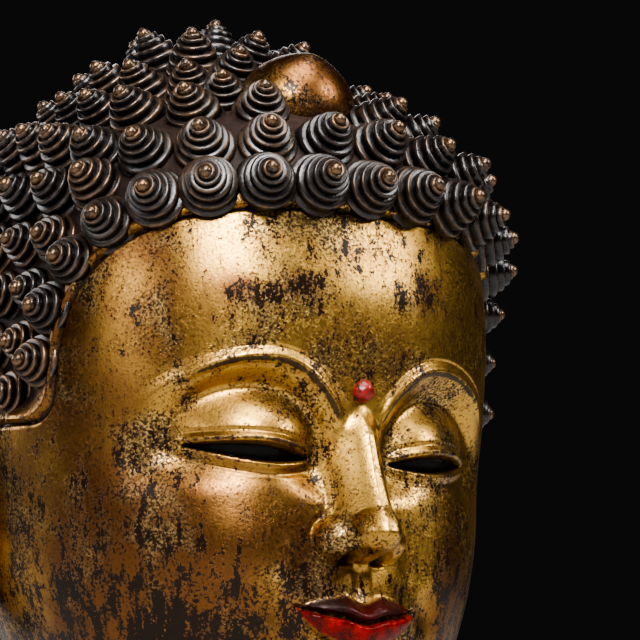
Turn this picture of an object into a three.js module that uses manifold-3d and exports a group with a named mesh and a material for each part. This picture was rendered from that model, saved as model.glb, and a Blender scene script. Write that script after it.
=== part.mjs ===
// A gilded bronze head with snail-shell curls, cast in one and cut flat at the foot of the neck.
//
// The form is worked out in fingers, the sculptor's unit: a face is twelve fingers from chin to hairline.
// "side" is the distance from the middle of the face, "forward" points out of the face, and "height" is
// measured up from the chin. The finished head faces -Y with +Z up and stands on its cut at z = 0.

import * as THREE from "three";
import { ConvexHull } from "three/addons/math/ConvexHull.js";
import { mergeVertices } from "three/addons/utils/BufferGeometryUtils.js";
import Module from "manifold-3d";

const wasm = await Module();
wasm.setup();

const { clamp, lerp, smoothstep, degToRad } = THREE.MathUtils;

// Driving dimensions: millimetres in a finger, then fingers
const FINGER = 15;
const CUT = -4;
const CUT_RADIUS = 4.5;
const SQUARENESS = 2.25;
const CROWN_SLOPE = -1.05;

// Stations of the head from the cut to the crown: reach and height in front, at the side and behind
const STATIONS = [
  [[4.5, CUT], [4.5, CUT], [4.5, CUT]], // cut
  [[4.05, -2.9], [4.2, -2.9], [4.35, -2.8]],
  [[3.9, -1.8], [4.1, -1.5], [4.25, -1.2]],
  [[4.2, -0.85], [4.15, -0.15], [4.25, 0.4]], // throat
  [[5.3, -0.45], [4.45, 0.8], [4.5, 1.65]],
  [[6.35, 0.3], [5.05, 1.95], [5.0, 2.8]], // chin
  [[6.7, 2.1], [5.65, 3.25], [5.5, 4.0]], // mouth
  [[6.85, 4.0], [6.0, 4.75], [5.9, 5.3]], // foot of the nose
  [[6.8, 6.2], [6.2, 6.55], [6.2, 6.9]], // eyes
  [[6.95, 8.3], [6.28, 8.4], [6.35, 8.6]], // brows
  [[6.95, 10.2], [6.28, 10.2], [6.25, 10.3]],
  [[6.6, 12.1], [6.1, 12.0], [6.0, 12.0]], // hairline
  [[6.5, 13.0], [5.75, 13.05], [5.45, 13.1]],
  [[6.15, 13.85], [4.95, 13.95], [4.6, 14.0]],
  [[5.4, 14.55], [3.95, 14.65], [3.65, 14.7]],
  [[4.2, 15.05], [3.1, 15.25], [2.9, 15.3]], // foot of the topknot
  [[2.75, 15.75], [2.35, 16.0], [2.3, 16.0]],
  [[1.45, 16.55], [1.4, 16.65], [1.4, 16.65]],
  [[0, 16.95], [0, 16.95], [0, 16.95]], // crown
];
const THROAT_STATION = 3;
const CHIN_STATION = 5;
const EYE_STATION = 8;
const HAIRLINE_STATION = 11;

// The topknot sits behind the middle of the head
const TOPKNOT_BACK = 0.7;
const TOPKNOT_RISE = [12.6, 16.4];

// Neck creases: heights and depth
const CREASES = [-1.1, -2.0, -2.9];
const CREASE_DEPTH = 0.16;
const CREASE_REACH = 0.34;

// Brows and eyes: side and height of the ends and peaks
const BROW_IN = [0.5, 7.3];
const BROW_PEAK = [2.45, 8.7];
const BROW_OUT = [4.85, 7.55];
const EYE_IN = [1.05, 6.42];
const EYE_OUT = [4.0, 6.62];
const LID_RISE = 0.2;
const LID_FALL = 0.24;

// Nose and mouth
const NOSE_TOP = 8.6;
const NOSE_TIP = 4.72;
const NOSE_FOOT = 4.02;
const NOSE_RISE = 1.5;
const TIP = { middle: [0, 4.76], half: [0.62, 0.6] };
const WING = { middle: [0.7, 4.56], half: [0.54, 0.52] };
const NOSTRIL = { middle: [0.42, 4.14], half: [0.26, 0.2], depth: 0.42 };
const MOUTH_HEIGHT = 2.74;
const MOUTH_HALF = 1.55;
const UPPER_LIP = 0.56;
const LOWER_LIP = 0.66;

// Soft masses of the face: rise, then side and height with their half widths
const MASSES = [
  [0.24, 0, 1.35, 0.75, 0.8], // chin
  [-0.24, 0, 1.5, 1.55, 0.4], // hollow under the lip
  [0.34, 0, 2.0, 2.9, 1.2], // round of the mouth
  [0.3, 3.0, 1.7, 4.2, 1.7], // cheek
  [-0.16, 2.05, 0.4, 2.95, 0.5], // corner of the mouth
  [-0.1, 1.45, 0.35, 4.0, 0.7], // beside the nose
];

// Hair: the arch it leaves open for the face, its edge before the ear and at the nape, how its corner rounds,
// and the cap's thickness
const HAIR_TOP = 12.3;
const HAIR_BASE = 7.0;
const HAIR_HALF = degToRad(66);
const HAIR_SIDE = 7.2;
const HAIR_NAPE = 2.65;
const NAPE_TURN = [degToRad(98), degToRad(122)];
const HAIR_ROUND = 0.9;
const HEAD_RADIUS = 6.2;
const CAP = 0.14;

// Scalp and curls lie deeper at the temples: depths, angle with its reach, and heights where it fades
const TEMPLE = { dip: 0.55, sink: 0.3, turn: [degToRad(78), degToRad(44)], height: [12.0, 14.4] };

// Curls: radius, height and sides, and share of radius and height at the shoulder and at the blunt tip
const CURL_RADIUS = 0.66;
const CURL_HEIGHT = 1.05;
const CURL_SIDES = 6;
const CURL_SHOULDER = [0.8, 0.48];
const CURL_TIP = [0.36, 1];
const TIP_SIDES = 4;

// Curl rows: distance between rows, along the first row, along the rows above it and along the rest
const ROW_STEP = 1.25;
const FIRST_STEP = 1.29;
const FIRST_SHIFT = 0.15;
const UPPER_STEP = 1.22;
const LOWER_STEP = 1.36;
const EDGE_MARGIN = 0.55;
const SECOND_MARGIN = 1.75;

// Rows above the first crowd a little towards it, and sag beside the forehead: depth, angle and reach
const ROW_CROWDING = 1.08;
const ROW_SAG = 0.6;
const SAG_ROWS = 4;
const SAG_TURN = [degToRad(46), degToRad(42)];

// Curls lean outwards: steepest rise over the forehead, and what each finger of height adds to it
const LEAN_LEAST = degToRad(20);
const LEAN_GAIN = degToRad(10);
const LEAN_HEIGHT = 12.85;

// Jewel in front of the topknot
const JEWEL = { forward: 3.5, height: 15.3, half: [1.42, 1.4, 1.25], lean: degToRad(30), clear: 1.55 };

// Ears: middle, half height, how far the rear edge turns out, lean, and thickness behind the relief
const EAR = { forward: -1.2, height: 4.85, out: 6.5, half: 3.6, wide: 1.4, turn: degToRad(24), back: 0.12 };
const EAR_TUCK = 0.13;
const EAR_THICKNESS = 0.55;
const EAR_MARGIN = 0.15;
const EAR_SEGMENTS = 22;

// Red stone between the brows, and the play round it in its socket
const STONE = { height: 8.05, radius: 0.28, proud: 0.1 };
const SOCKET_GAP = 0.3;

// Fineness of the faceted surface
const NECK_SIDES = 28;
const SKIN_STEP = 0.95;
const FACE_SEED = 0.5;
const FACE_ROUNDS = 14;
const FACE_ROUND_POINTS = 70;
const FACE_LIMIT = 1440;
const LEAST_SPACING = 0.14;
const FOOT_SPACING = 0.52;

// Plain curves

const bell = (x, centre, reach) => clamp(1 - ((x - centre) / reach) ** 2, 0, 1) ** 2;
const hill = (side, height, middle, width, level, tall) =>
  Math.exp(-(((side - middle) / width) ** 2) - ((height - level) / tall) ** 2);

function smoothMax(a, b, blend) {
  const share = clamp(0.5 + (0.5 * (a - b)) / blend, 0, 1);
  return lerp(b, a, share) + blend * share * (1 - share);
}

// Distance from a curve height = line(side), positive above it
function above(line, side, height) {
  const step = 0.02;
  const slope = (line(side + step) - line(side - step)) / (2 * step);
  return (height - line(side)) / Math.hypot(1, slope);
}

// Bare loft through the stations

const FLAT = STATIONS.map((station) => station.flat());
const KNOTS = [0];
for (let i = 1; i < STATIONS.length; i++) {
  const chords = STATIONS[i].map(([reach, height], k) =>
    Math.hypot(reach - STATIONS[i - 1][k][0], height - STATIONS[i - 1][k][1]));
  KNOTS.push(KNOTS[i - 1] + (chords[0] + chords[1] + chords[2]) / 3);
}
const CROWN = KNOTS.at(-1);

// Slope of each profile at a station, from the chords before and after it
function stationSlope(i, k) {
  const last = STATIONS.length - 1;
  if (i === last) return k % 2 ? 0 : CROWN_SLOPE;
  if (i === 0) return (FLAT[1][k] - FLAT[0][k]) / KNOTS[1];
  const before = KNOTS[i] - KNOTS[i - 1];
  const after = KNOTS[i + 1] - KNOTS[i];
  const rising = (FLAT[i][k] - FLAT[i - 1][k]) / before;
  const leaving = (FLAT[i + 1][k] - FLAT[i][k]) / after;
  return (rising * after + leaving * before) / (before + after);
}
const SLOPES = FLAT.map((row, i) => row.map((_, k) => stationSlope(i, k)));

// Profile values at a way up from the cut's rim, by cubics through the stations
function profile(way) {
  const along = clamp(way, 0, CROWN);
  let i = 0;
  while (i < KNOTS.length - 2 && KNOTS[i + 1] <= along) i++;
  const span = KNOTS[i + 1] - KNOTS[i];
  const t = (along - KNOTS[i]) / span;
  const toEnd = t * t * (3 - 2 * t);
  const leave = t * (1 - t) ** 2 * span;
  const arrive = t * t * (t - 1) * span;
  return FLAT[i].map((value, k) =>
    lerp(value, FLAT[i + 1][k], toEnd) + leave * SLOPES[i][k] + arrive * SLOPES[i + 1][k]);
}

// Bare form at an angle round from the front; a negative way runs inwards over the flat cut
function bare(angle, way) {
  const [front, frontHeight, wide, wideHeight, rear, rearHeight] = profile(way);
  const cos = Math.cos(angle);
  const sin = Math.sin(angle);
  const reach = Math.max(cos >= 0 ? front : rear, 1e-6);
  const endHeight = cos >= 0 ? frontHeight : rearHeight;
  const width = Math.max(wide, 1e-6);
  const across = Math.abs(sin / width) ** SQUARENESS;
  const along = Math.abs(cos / reach) ** SQUARENESS;
  const radius = (across + along) ** (-1 / SQUARENESS);
  const inward = way < 0 ? 1 + way / CUT_RADIUS : 1;
  const height = lerp(wideHeight, endHeight, cos * cos);
  const drift = TOPKNOT_BACK * smoothstep(height, ...TOPKNOT_RISE);
  return { side: radius * sin * inward, forward: radius * cos * inward - drift, height };
}

// Every point of the form has a direction on a unit ball, so that small circles on the ball stay round on
// the head. The table gives the ball's latitude for each way up the loft.
const LATITUDES = [];
{
  const steps = 760;
  const start = -CUT_RADIUS * 0.997;
  let turned = 0;
  let eyeTurn = 0;
  let previous = 0;
  for (let i = 0; i < steps; i++) {
    const way = lerp(start, CROWN * 0.9995, i / (steps - 1));
    const [front, , wide, , rear] = profile(way);
    const mean = (2 * wide + front + rear) / 4;
    const radius = Math.max(way < 0 ? mean * (1 + way / CUT_RADIUS) : mean, 1e-3);
    if (i > 0) turned += ((way - LATITUDES[i - 1].way) / 2) * (1 / radius + 1 / previous);
    if (way <= KNOTS[EYE_STATION]) eyeTurn = turned;
    previous = radius;
    LATITUDES.push({ way, turned, scale: radius });
  }
  for (const row of LATITUDES) {
    row.latitude = 2 * Math.atan(Math.exp(row.turned - eyeTurn)) - Math.PI / 2;
    row.scale /= Math.max(Math.cos(row.latitude), 1e-3);
  }
}

function between(value, from, to) {
  let low = 0;
  let high = LATITUDES.length - 1;
  if (value <= LATITUDES[low][from]) return LATITUDES[low][to];
  if (value >= LATITUDES[high][from]) return LATITUDES[high][to];
  while (high - low > 1) {
    const middle = (low + high) >> 1;
    if (LATITUDES[middle][from] <= value) low = middle;
    else high = middle;
  }
  const share = (value - LATITUDES[low][from]) / (LATITUDES[high][from] - LATITUDES[low][from]);
  return lerp(LATITUDES[low][to], LATITUDES[high][to], share);
}

function toBall(angle, way) {
  const latitude = between(way, "way", "latitude");
  const round = Math.cos(latitude);
  return new THREE.Vector3(round * Math.sin(angle), -round * Math.cos(angle), Math.sin(latitude));
}

function fromBall(direction) {
  const latitude = Math.asin(clamp(direction.z, -1, 1));
  return { angle: Math.atan2(direction.x, -direction.y), way: between(latitude, "latitude", "way") };
}

// Face: how far each feature stands forward of the bare form

function browLine(side) {
  const inner = Math.max(BROW_PEAK[0] - side, 0) / (BROW_PEAK[0] - BROW_IN[0]);
  const outer = Math.max(side - BROW_PEAK[0], 0) / (BROW_OUT[0] - BROW_PEAK[0]);
  return BROW_PEAK[1] - (BROW_PEAK[1] - BROW_IN[1]) * inner ** 2.3 - (BROW_PEAK[1] - BROW_OUT[1]) * outer ** 2;
}

function lidLine(side, swell, skew) {
  const part = clamp((side - EYE_IN[0]) / (EYE_OUT[0] - EYE_IN[0]), 0, 1);
  return lerp(EYE_IN[1], EYE_OUT[1], part) + swell * Math.sin(Math.PI * part ** skew);
}
const upperLid = (side) => lidLine(side, LID_RISE, 0.85);
const lowerLid = (side) => lidLine(side, -LID_FALL, 0.9);

const lipShare = (side) => clamp(1 - (side / MOUTH_HALF) ** 2, 0, 1);
const mouthLine = (side) => MOUTH_HEIGHT + 0.2 * (side / MOUTH_HALF) ** 2 - 0.1 * bell(side, 0, 0.55);

// Egg-shaped swelling that drops away outside its outline
function swelling(side, height, [middle, level], [wide, tall], low, high) {
  const inside = 1 - ((side - middle) / wide) ** 2 - ((height - level) / tall) ** 2;
  if (inside > 0) return low + (high - low) * Math.sqrt(inside);
  return low - 0.6 * Math.sqrt(Math.min(-inside, 4));
}

function softMasses(side, height) {
  return MASSES.reduce((sum, [rise, ...place]) => sum + rise * hill(side, height, ...place), 0);
}

function eyeSocket(side, height) {
  const below = -above(browLine, side, height);
  const band = smoothstep(below, -0.05, 0.8) * (1 - smoothstep(below, 1.3, 3.4));
  const run = smoothstep(side, 0.2, 1.1) * (1 - smoothstep(side, 3.2, 5.4));
  return 0.64 * band * run * smoothstep(height, 5.3, 6.6);
}

// Rims and slit of the lowered eye
function lidCarving(side, height) {
  const up = above(upperLid, side, height);
  const low = above(lowerLid, side, height);
  const ends = smoothstep(side, EYE_IN[0] - 0.1, EYE_IN[0] + 0.3) *
    (1 - smoothstep(side, EYE_OUT[0] - 0.3, EYE_OUT[0] + 0.1));
  const slit = 0.34 * smoothstep(-up, -0.02, 0.06) * smoothstep(low, -0.02, 0.06);
  const rims = 0.085 * bell(up, 0.085, 0.13) + 0.065 * bell(low, -0.085, 0.13);
  return ends * (rims - slit);
}

function browBand(side, height) {
  const run = smoothstep(side, 0.35, 0.75) * (1 - smoothstep(side, 3.9, 4.85));
  return 0.09 * run * bell(above(browLine, side, height), 0.03, 0.2);
}

function nose(side, height) {
  const down = clamp((NOSE_TOP - height) / (NOSE_TOP - NOSE_TIP), 0, 1);
  const under = clamp((NOSE_TIP - height) / (NOSE_TIP - NOSE_FOOT), 0, 1);
  const ridge = NOSE_RISE * down ** 1.22 * (1 - under ** 1.9) ** 0.75;
  const halfTop = 0.13 + 0.16 * down ** 2;
  const halfFoot = 0.46 + 0.5 * down ** 1.3;
  const out = clamp((side - halfTop) / (halfFoot - halfTop), 0, 1);
  const wall = (1 - out) ** 1.15 * (1 + 0.35 * out);
  const bridge = (ridge + 0.25) * wall - 0.25 - 0.6 * clamp((side - halfFoot) / 0.5, 0, 1);
  const tip = swelling(side, height, TIP.middle, TIP.half, 0.5, NOSE_RISE);
  const wing = swelling(side, height, WING.middle, WING.half, -0.05, 0.72);
  const whole = smoothMax(smoothMax(bridge, tip, 0.3), wing, 0.34);
  return whole - 0.9 * smoothstep(height, 7.4, NOSE_TOP);
}

function lips(side, height) {
  const rise = height - mouthLine(side);
  const share = lipShare(side);
  const parting = 0.2 * bell(rise, 0, 0.11) * (1 - smoothstep(side, 1.4, 1.75));
  if (share <= 0) return -parting;
  if (rise >= 0) {
    const thick = UPPER_LIP * share ** 0.9 - 0.1 * bell(side, 0, 0.45);
    return 0.36 * share ** 0.6 * (1 - smoothstep(rise / Math.max(thick, 1e-3), 0.25, 1.15)) - parting;
  }
  const down = -rise / Math.max(LOWER_LIP * share ** 0.5, 1e-3);
  return 0.42 * share ** 0.5 * clamp(1 - ((down - 0.4) / 0.68) ** 2, 0, 1) ** 0.6 - parting;
}

function faceRise(signedSide, height) {
  const side = Math.abs(signedSide);
  const lid = 0.16 - ((side - 2.5) / 1.9) ** 2 - ((height - 6.72) / 1.35) ** 2;
  let rise = smoothMax(softMasses(side, height) - eyeSocket(side, height), lid, 0.42);
  rise += lidCarving(side, height) + browBand(side, height);
  rise = smoothMax(rise, nose(side, height), 0.26);
  const { middle, half, depth } = NOSTRIL;
  rise -= depth * bell(side, middle[0], half[0]) * bell(height, middle[1], half[1]);
  const philtrum = smoothstep(height, 3.1, 3.5) * (1 - smoothstep(height, 3.75, 4.15));
  rise -= philtrum * 0.09 * bell(side, 0, 0.32);
  return rise + lips(side, height);
}

// Hair's edge, and how far inside it a point lies

function archDepth(angle, height) {
  const across = Math.abs(angle) / HAIR_HALF;
  const along = Math.max(height - HAIR_BASE, 0) / (HAIR_TOP - HAIR_BASE);
  const size = Math.max((across ** 3 + along ** 3) ** (1 / 3), 1e-6);
  return (size - 1) / archSlope(across / size, along / size);
}

// How fast the arch grows with distance, at a point of its edge
function archSlope(across, along) {
  return Math.hypot(across ** 2 / (HAIR_HALF * HEAD_RADIUS), along ** 2 / (HAIR_TOP - HAIR_BASE));
}

function lowerEdge(angle) {
  return HAIR_SIDE - (HAIR_SIDE - HAIR_NAPE) * smoothstep(Math.abs(angle), ...NAPE_TURN);
}

function lowerDepth(angle, height) {
  const step = 0.01;
  const slope = (lowerEdge(angle + step) - lowerEdge(angle - step)) / (2 * step * HEAD_RADIUS);
  return (height - lowerEdge(angle)) / Math.hypot(1, slope);
}

function hairDepth(angle, way) {
  const { height } = bare(angle, way);
  return -smoothMax(-archDepth(angle, height), -lowerDepth(angle, height), HAIR_ROUND);
}

// Share of the hollow at the temples, which keeps the curls behind the line of the cheek
function temple(angle, way) {
  const fading = 1 - smoothstep(bare(angle, way).height, ...TEMPLE.height);
  return bell(Math.abs(angle), ...TEMPLE.turn) * fading * smoothstep(hairDepth(angle, way), 0, 1);
}

// Whole skin and hair cap: bare form with face, creases and the cap's raised edge

function formed(angle, way, capRise = CAP) {
  const point = bare(angle, way);
  const front = smoothstep(point.forward, 0.5, 3.0);
  const crease = CREASES.reduce((sum, height) => sum + bell(point.height, height, CREASE_REACH), 0);
  const pinch = 1 - (CREASE_DEPTH * crease * smoothstep(way, 0, 0.5)) / CUT_RADIUS;
  point.side *= pinch;
  point.forward *= pinch;
  if (front > 0 && way > 0) point.forward += front * faceRise(point.side, point.height);
  const spot = new THREE.Vector3(point.side, -point.forward, point.height);
  if (way > 0 && hairDepth(angle, way) > 0) {
    spot.addScaledVector(outward(angle, way), capRise - TEMPLE.dip * temple(angle, way));
  }
  return spot;
}

function outward(angle, way) {
  const step = 0.02;
  const low = Math.min(way, CROWN - 0.05);
  const around = asVector(bare(angle + step, low)).sub(asVector(bare(angle - step, low)));
  const up = asVector(bare(angle, low + step)).sub(asVector(bare(angle, low - step)));
  return around.cross(up).normalize();
}

function asVector({ side, forward, height }) {
  return new THREE.Vector3(side, -forward, height);
}

function onForm(direction) {
  const { angle, way } = fromBall(direction);
  return formed(angle, way);
}

// Points of the faceted surface: a direction on the ball with its place on the head

class Surface {
  constructor() {
    this.points = [];
  }

  add(direction, place = onForm(direction), spacing = 0) {
    const near = (other) => other.place.distanceToSquared(place) < spacing * spacing;
    if (spacing > 0 && this.points.some(near)) return false;
    this.points.push({ direction, place });
    return true;
  }

  // Triangles that join neighbouring directions, as index triples facing out
  triangles() {
    const index = new Map(this.points.map(({ direction }, i) => [direction, i]));
    const hull = new ConvexHull().setFromPoints(this.points.map(({ direction }) => direction));
    return hull.faces.map((face) => {
      const corners = [face.edge, face.edge.next, face.edge.next.next];
      return corners.map((edge) => index.get(edge.head().point));
    });
  }

  geometry() {
    const geometry = new THREE.BufferGeometry();
    const corners = this.points.flatMap(({ place }) => place.toArray());
    geometry.setAttribute("position", new THREE.Float32BufferAttribute(corners, 3));
    geometry.setIndex(this.triangles().flat());
    return geometry;
  }
}

// Flat cut, neck and the plain skin at the sides
function plainSkin(surface) {
  const innerRings = [[0.2, 3], [0.55, 12]];
  for (const [share, count] of innerRings) ring(surface, -CUT_RADIUS * (1 - share), count);
  const creaseLines = CREASES.flatMap((height) => [height - CREASE_REACH, height, height + CREASE_REACH]);
  const neckWays = creaseLines.map((height) => wayAtHeight(Math.PI / 2, height));
  for (const way of [0, ...neckWays]) ring(surface, way, NECK_SIDES);
  scatter(surface, SKIN_STEP, 0.7, (spot, depth) => depth < -0.3);
  scatter(surface, FACE_SEED, 0.42, (spot, depth) => depth < -0.3 && -spot.y > 3.6 && spot.z > 0);
}

// Staggered points over the skin wherever the test allows
function scatter(surface, step, spacing, allowed) {
  const count = Math.round((Math.PI * HEAD_RADIUS) / step) * 2;
  let row = 0;
  for (let way = KNOTS[THROAT_STATION]; way < KNOTS[HAIRLINE_STATION]; way += step) {
    row++;
    for (let i = 0; i < count; i++) {
      const angle = ((i + (row % 2) / 2) / count) * 2 * Math.PI - Math.PI;
      const spot = formed(angle, way);
      if (allowed(spot, hairDepth(angle, way))) surface.add(toBall(angle, way), spot, spacing);
    }
  }
}

function ring(surface, way, count) {
  for (let i = 0; i < count; i++) surface.add(toBall(((i + 0.5) / count) * 2 * Math.PI - Math.PI, way));
}

function wayAtHeight(angle, height) {
  return solve((way) => bare(angle, way).height - height, 0, CROWN);
}

// Where a rising function crosses nought
function solve(rising, low, high) {
  for (let i = 0; i < 40; i++) {
    const middle = (low + high) / 2;
    if (rising(middle) < 0) low = middle;
    else high = middle;
  }
  return (low + high) / 2;
}

// Both sides of the step at the hair's edge
function hairEdge(surface) {
  const count = 96;
  for (let i = 0; i < count; i++) {
    const angle = ((i + 0.5) / count) * 2 * Math.PI - Math.PI;
    for (const depth of [-0.02, 0.06]) {
      const way = solve((at) => hairDepth(angle, at) - depth, KNOTS[THROAT_STATION], CROWN);
      surface.add(toBall(angle, way), formed(angle, way, depth > 0 ? CAP : 0));
    }
  }
}

// Face points go where the facets miss the form by most, in mirrored pairs
function refineFace(surface) {
  const mirrored = (direction) => new THREE.Vector3(-direction.x, direction.y, direction.z);
  for (let round = 0; round < FACE_ROUNDS; round++) {
    const misses = [];
    for (const corners of surface.triangles()) {
      const [a, b, c] = corners.map((i) => surface.points[i]);
      const middle = a.direction.clone().add(b.direction).add(c.direction).normalize();
      if (middle.x < 0) continue;
      const { angle, way } = fromBall(middle);
      const spot = formed(angle, way);
      const inFace = -spot.y > 2.6 && spot.z > -0.9 && hairDepth(angle, way) < -0.15;
      if (!inFace) continue;
      const normal = new THREE.Triangle(a.place, b.place, c.place).getNormal(new THREE.Vector3());
      const miss = Math.abs(normal.dot(spot.clone().sub(a.place)));
      misses.push({ middle, miss });
    }
    misses.sort((one, other) => other.miss - one.miss);
    for (const { middle } of misses.slice(0, FACE_ROUND_POINTS)) {
      if (surface.points.length > FACE_LIMIT) return;
      if (middle.x < 0.008) middle.setX(0).normalize();
      if (surface.add(middle, onForm(middle), LEAST_SPACING) && middle.x > 0) surface.add(mirrored(middle));
    }
  }
}

// First row of curls: evenly along the arch, from the middle of the forehead down one temple
function firstRow(hand) {
  const centres = [];
  const samples = 600;
  const drop = 0.02;
  let run = hand > 0 ? FIRST_STEP - FIRST_SHIFT : FIRST_SHIFT;
  let last = null;
  for (let i = 0; ; i++) {
    const turn = (Math.min(i / samples, 1) * Math.PI) / 2;
    const across = Math.sin(turn) ** (2 / 3);
    const along = Math.max(Math.cos(turn), 0) ** (2 / 3);
    const size = 1 + EDGE_MARGIN * archSlope(across, along);
    const angle = hand * HAIR_HALF * across * size;
    const height = HAIR_BASE + (HAIR_TOP - HAIR_BASE) * along * size - drop * Math.max(i - samples, 0);
    if (height < HAIR_SIDE + EDGE_MARGIN) return centres;
    const way = wayAtHeight(angle, height);
    const spot = asVector(bare(angle, way));
    if (last) run += spot.distanceTo(last);
    if (run >= FIRST_STEP) {
      centres.push({ angle, way });
      run -= FIRST_STEP;
    }
    last = spot;
  }
}

// The same angle, counted from the front to half a turn either way
function fromFront(angle) {
  return angle > Math.PI ? angle - 2 * Math.PI : angle;
}

// Full rings above the first row, staggered, up to the curl on the crown
function upperRows(start) {
  const rows = Math.floor((CROWN - start) / ROW_STEP);
  const centres = [];
  for (let row = 1; row <= rows; row++) {
    const way = lerp(start, CROWN, (row / rows) ** ROW_CROWDING);
    const count = Math.max(Math.round((2 * Math.PI * ringRadius(way)) / UPPER_STEP), 1);
    const deepest = ROW_SAG * Math.max(1 - (row - 1) / SAG_ROWS, 0);
    for (let i = 0; i < count; i++) {
      const angle = fromFront(((i + (row % 2) / 2) / count) * 2 * Math.PI);
      centres.push({ angle, way: way - deepest * bell(Math.abs(angle), ...SAG_TURN) });
    }
  }
  return centres;
}

// Rows at the sides and back, from edge to edge of the hair
function lowerRows(start) {
  const centres = [];
  for (let way = start; way > KNOTS[CHIN_STATION]; way -= ROW_STEP) {
    const inside = (angle) => {
      const { height } = bare(angle, way);
      return Math.min(archDepth(angle, height) - SECOND_MARGIN, lowerDepth(angle, height) - EDGE_MARGIN);
    };
    if (inside(Math.PI) < 0) break;
    const edge = solve(inside, 0, Math.PI);
    const span = 2 * (Math.PI - edge);
    const count = Math.max(Math.round((ringRadius(way) * span) / LOWER_STEP), 1);
    for (let i = 0; i <= count; i++) centres.push({ angle: fromFront(edge + (i / count) * span), way });
  }
  return centres;
}

function ringRadius(way) {
  const [front, , wide, , rear] = profile(way);
  return (2 * wide + front + rear) / 4;
}

function curlCentres() {
  const first = firstRow(1);
  const start = first[0].way;
  const all = [...first, ...firstRow(-1), ...upperRows(start), ...lowerRows(start)];
  return all.filter(({ angle, way }) => !underJewel(angle, way) && !behindEar(angle, way));
}

function underJewel(angle, way) {
  const { side, forward, height } = bare(angle, way);
  return Math.hypot(side, forward - JEWEL.forward, height - JEWEL.height) < JEWEL.clear;
}

function behindEar(angle, way) {
  const { forward, height } = bare(angle, way);
  const across = (forward - EAR.forward) / (EAR.wide + EAR_MARGIN);
  const along = (height - EAR.height) / (EAR.half + EAR_MARGIN);
  return across ** 2 + along ** 2 < 1;
}

// Direction in which a curl stands: out from the scalp, but leaning down over the forehead
function curlAxis(angle, way) {
  const normal = outward(angle, way);
  const flat = Math.hypot(normal.x, normal.y);
  const least = LEAN_LEAST + LEAN_GAIN * Math.max(bare(angle, way).height - LEAN_HEIGHT, 0);
  const most = lerp(Math.PI / 2, least, smoothstep(ringRadius(way), 0.3, 1.2));
  const rise = Math.min(Math.atan2(normal.z, flat), most);
  const level = Math.cos(rise) / flat;
  return new THREE.Vector3(normal.x * level, normal.y * level, Math.sin(rise));
}

function addCurls(surface) {
  for (const { angle, way } of curlCentres()) {
    const axis = curlAxis(angle, way);
    const middle = toBall(angle, way);
    const east = new THREE.Vector3(0, 0, 1).cross(middle).normalize();
    if (east.lengthSq() < 0.5) east.set(1, 0, 0);
    const north = middle.clone().cross(east);
    const scale = between(way, "way", "scale");
    const stands = CURL_HEIGHT - TEMPLE.sink * temple(angle, way);
    const ringAt = (sides, [wide, tall], turn, spacing) => {
      for (let i = 0; i < sides; i++) {
        const phi = ((i + turn) / sides) * 2 * Math.PI;
        const slant = (CURL_RADIUS * wide) / scale;
        const direction = middle.clone().multiplyScalar(Math.cos(slant));
        direction.addScaledVector(east, Math.sin(slant) * Math.cos(phi));
        direction.addScaledVector(north, Math.sin(slant) * Math.sin(phi));
        surface.add(direction, onForm(direction).addScaledVector(axis, stands * tall), spacing);
      }
    };
    ringAt(TIP_SIDES, CURL_TIP, 0, 0);
    ringAt(CURL_SIDES, CURL_SHOULDER, 0.5, 0);
    ringAt(CURL_SIDES, [1, 0], 0, FOOT_SPACING);
  }
}

// Ears: a leaf with a raised rim, a hollow and a long lobe, standing a little off the head

function earOutline(turn) {
  const tall = EAR.half * Math.cos(turn);
  const width = lerp(0.65, 1, smoothstep(tall, -1.2, 2.0)) * EAR.wide;
  const drift = 0.16 * smoothstep(-tall, -1.0, EAR.half);
  const across = Math.sign(Math.sin(turn)) * Math.abs(Math.sin(turn)) ** 0.75;
  return [width * across - drift, tall];
}

function earRelief(share, turn) {
  const upper = smoothstep(Math.cos(turn), -0.45, 0.1);
  const rim = 0.36 * bell(share, 0.88, 0.2) * lerp(0.4, 1, upper);
  const fold = 0.26 * bell(share, 0.52, 0.2) * upper * smoothstep(Math.sin(turn), -0.6, 0.3);
  const hollow = 0.34 * (1 - smoothstep(share, 0.15, 0.5)) * lerp(0.3, 1, upper);
  return 0.2 + rim + fold - hollow;
}

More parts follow.
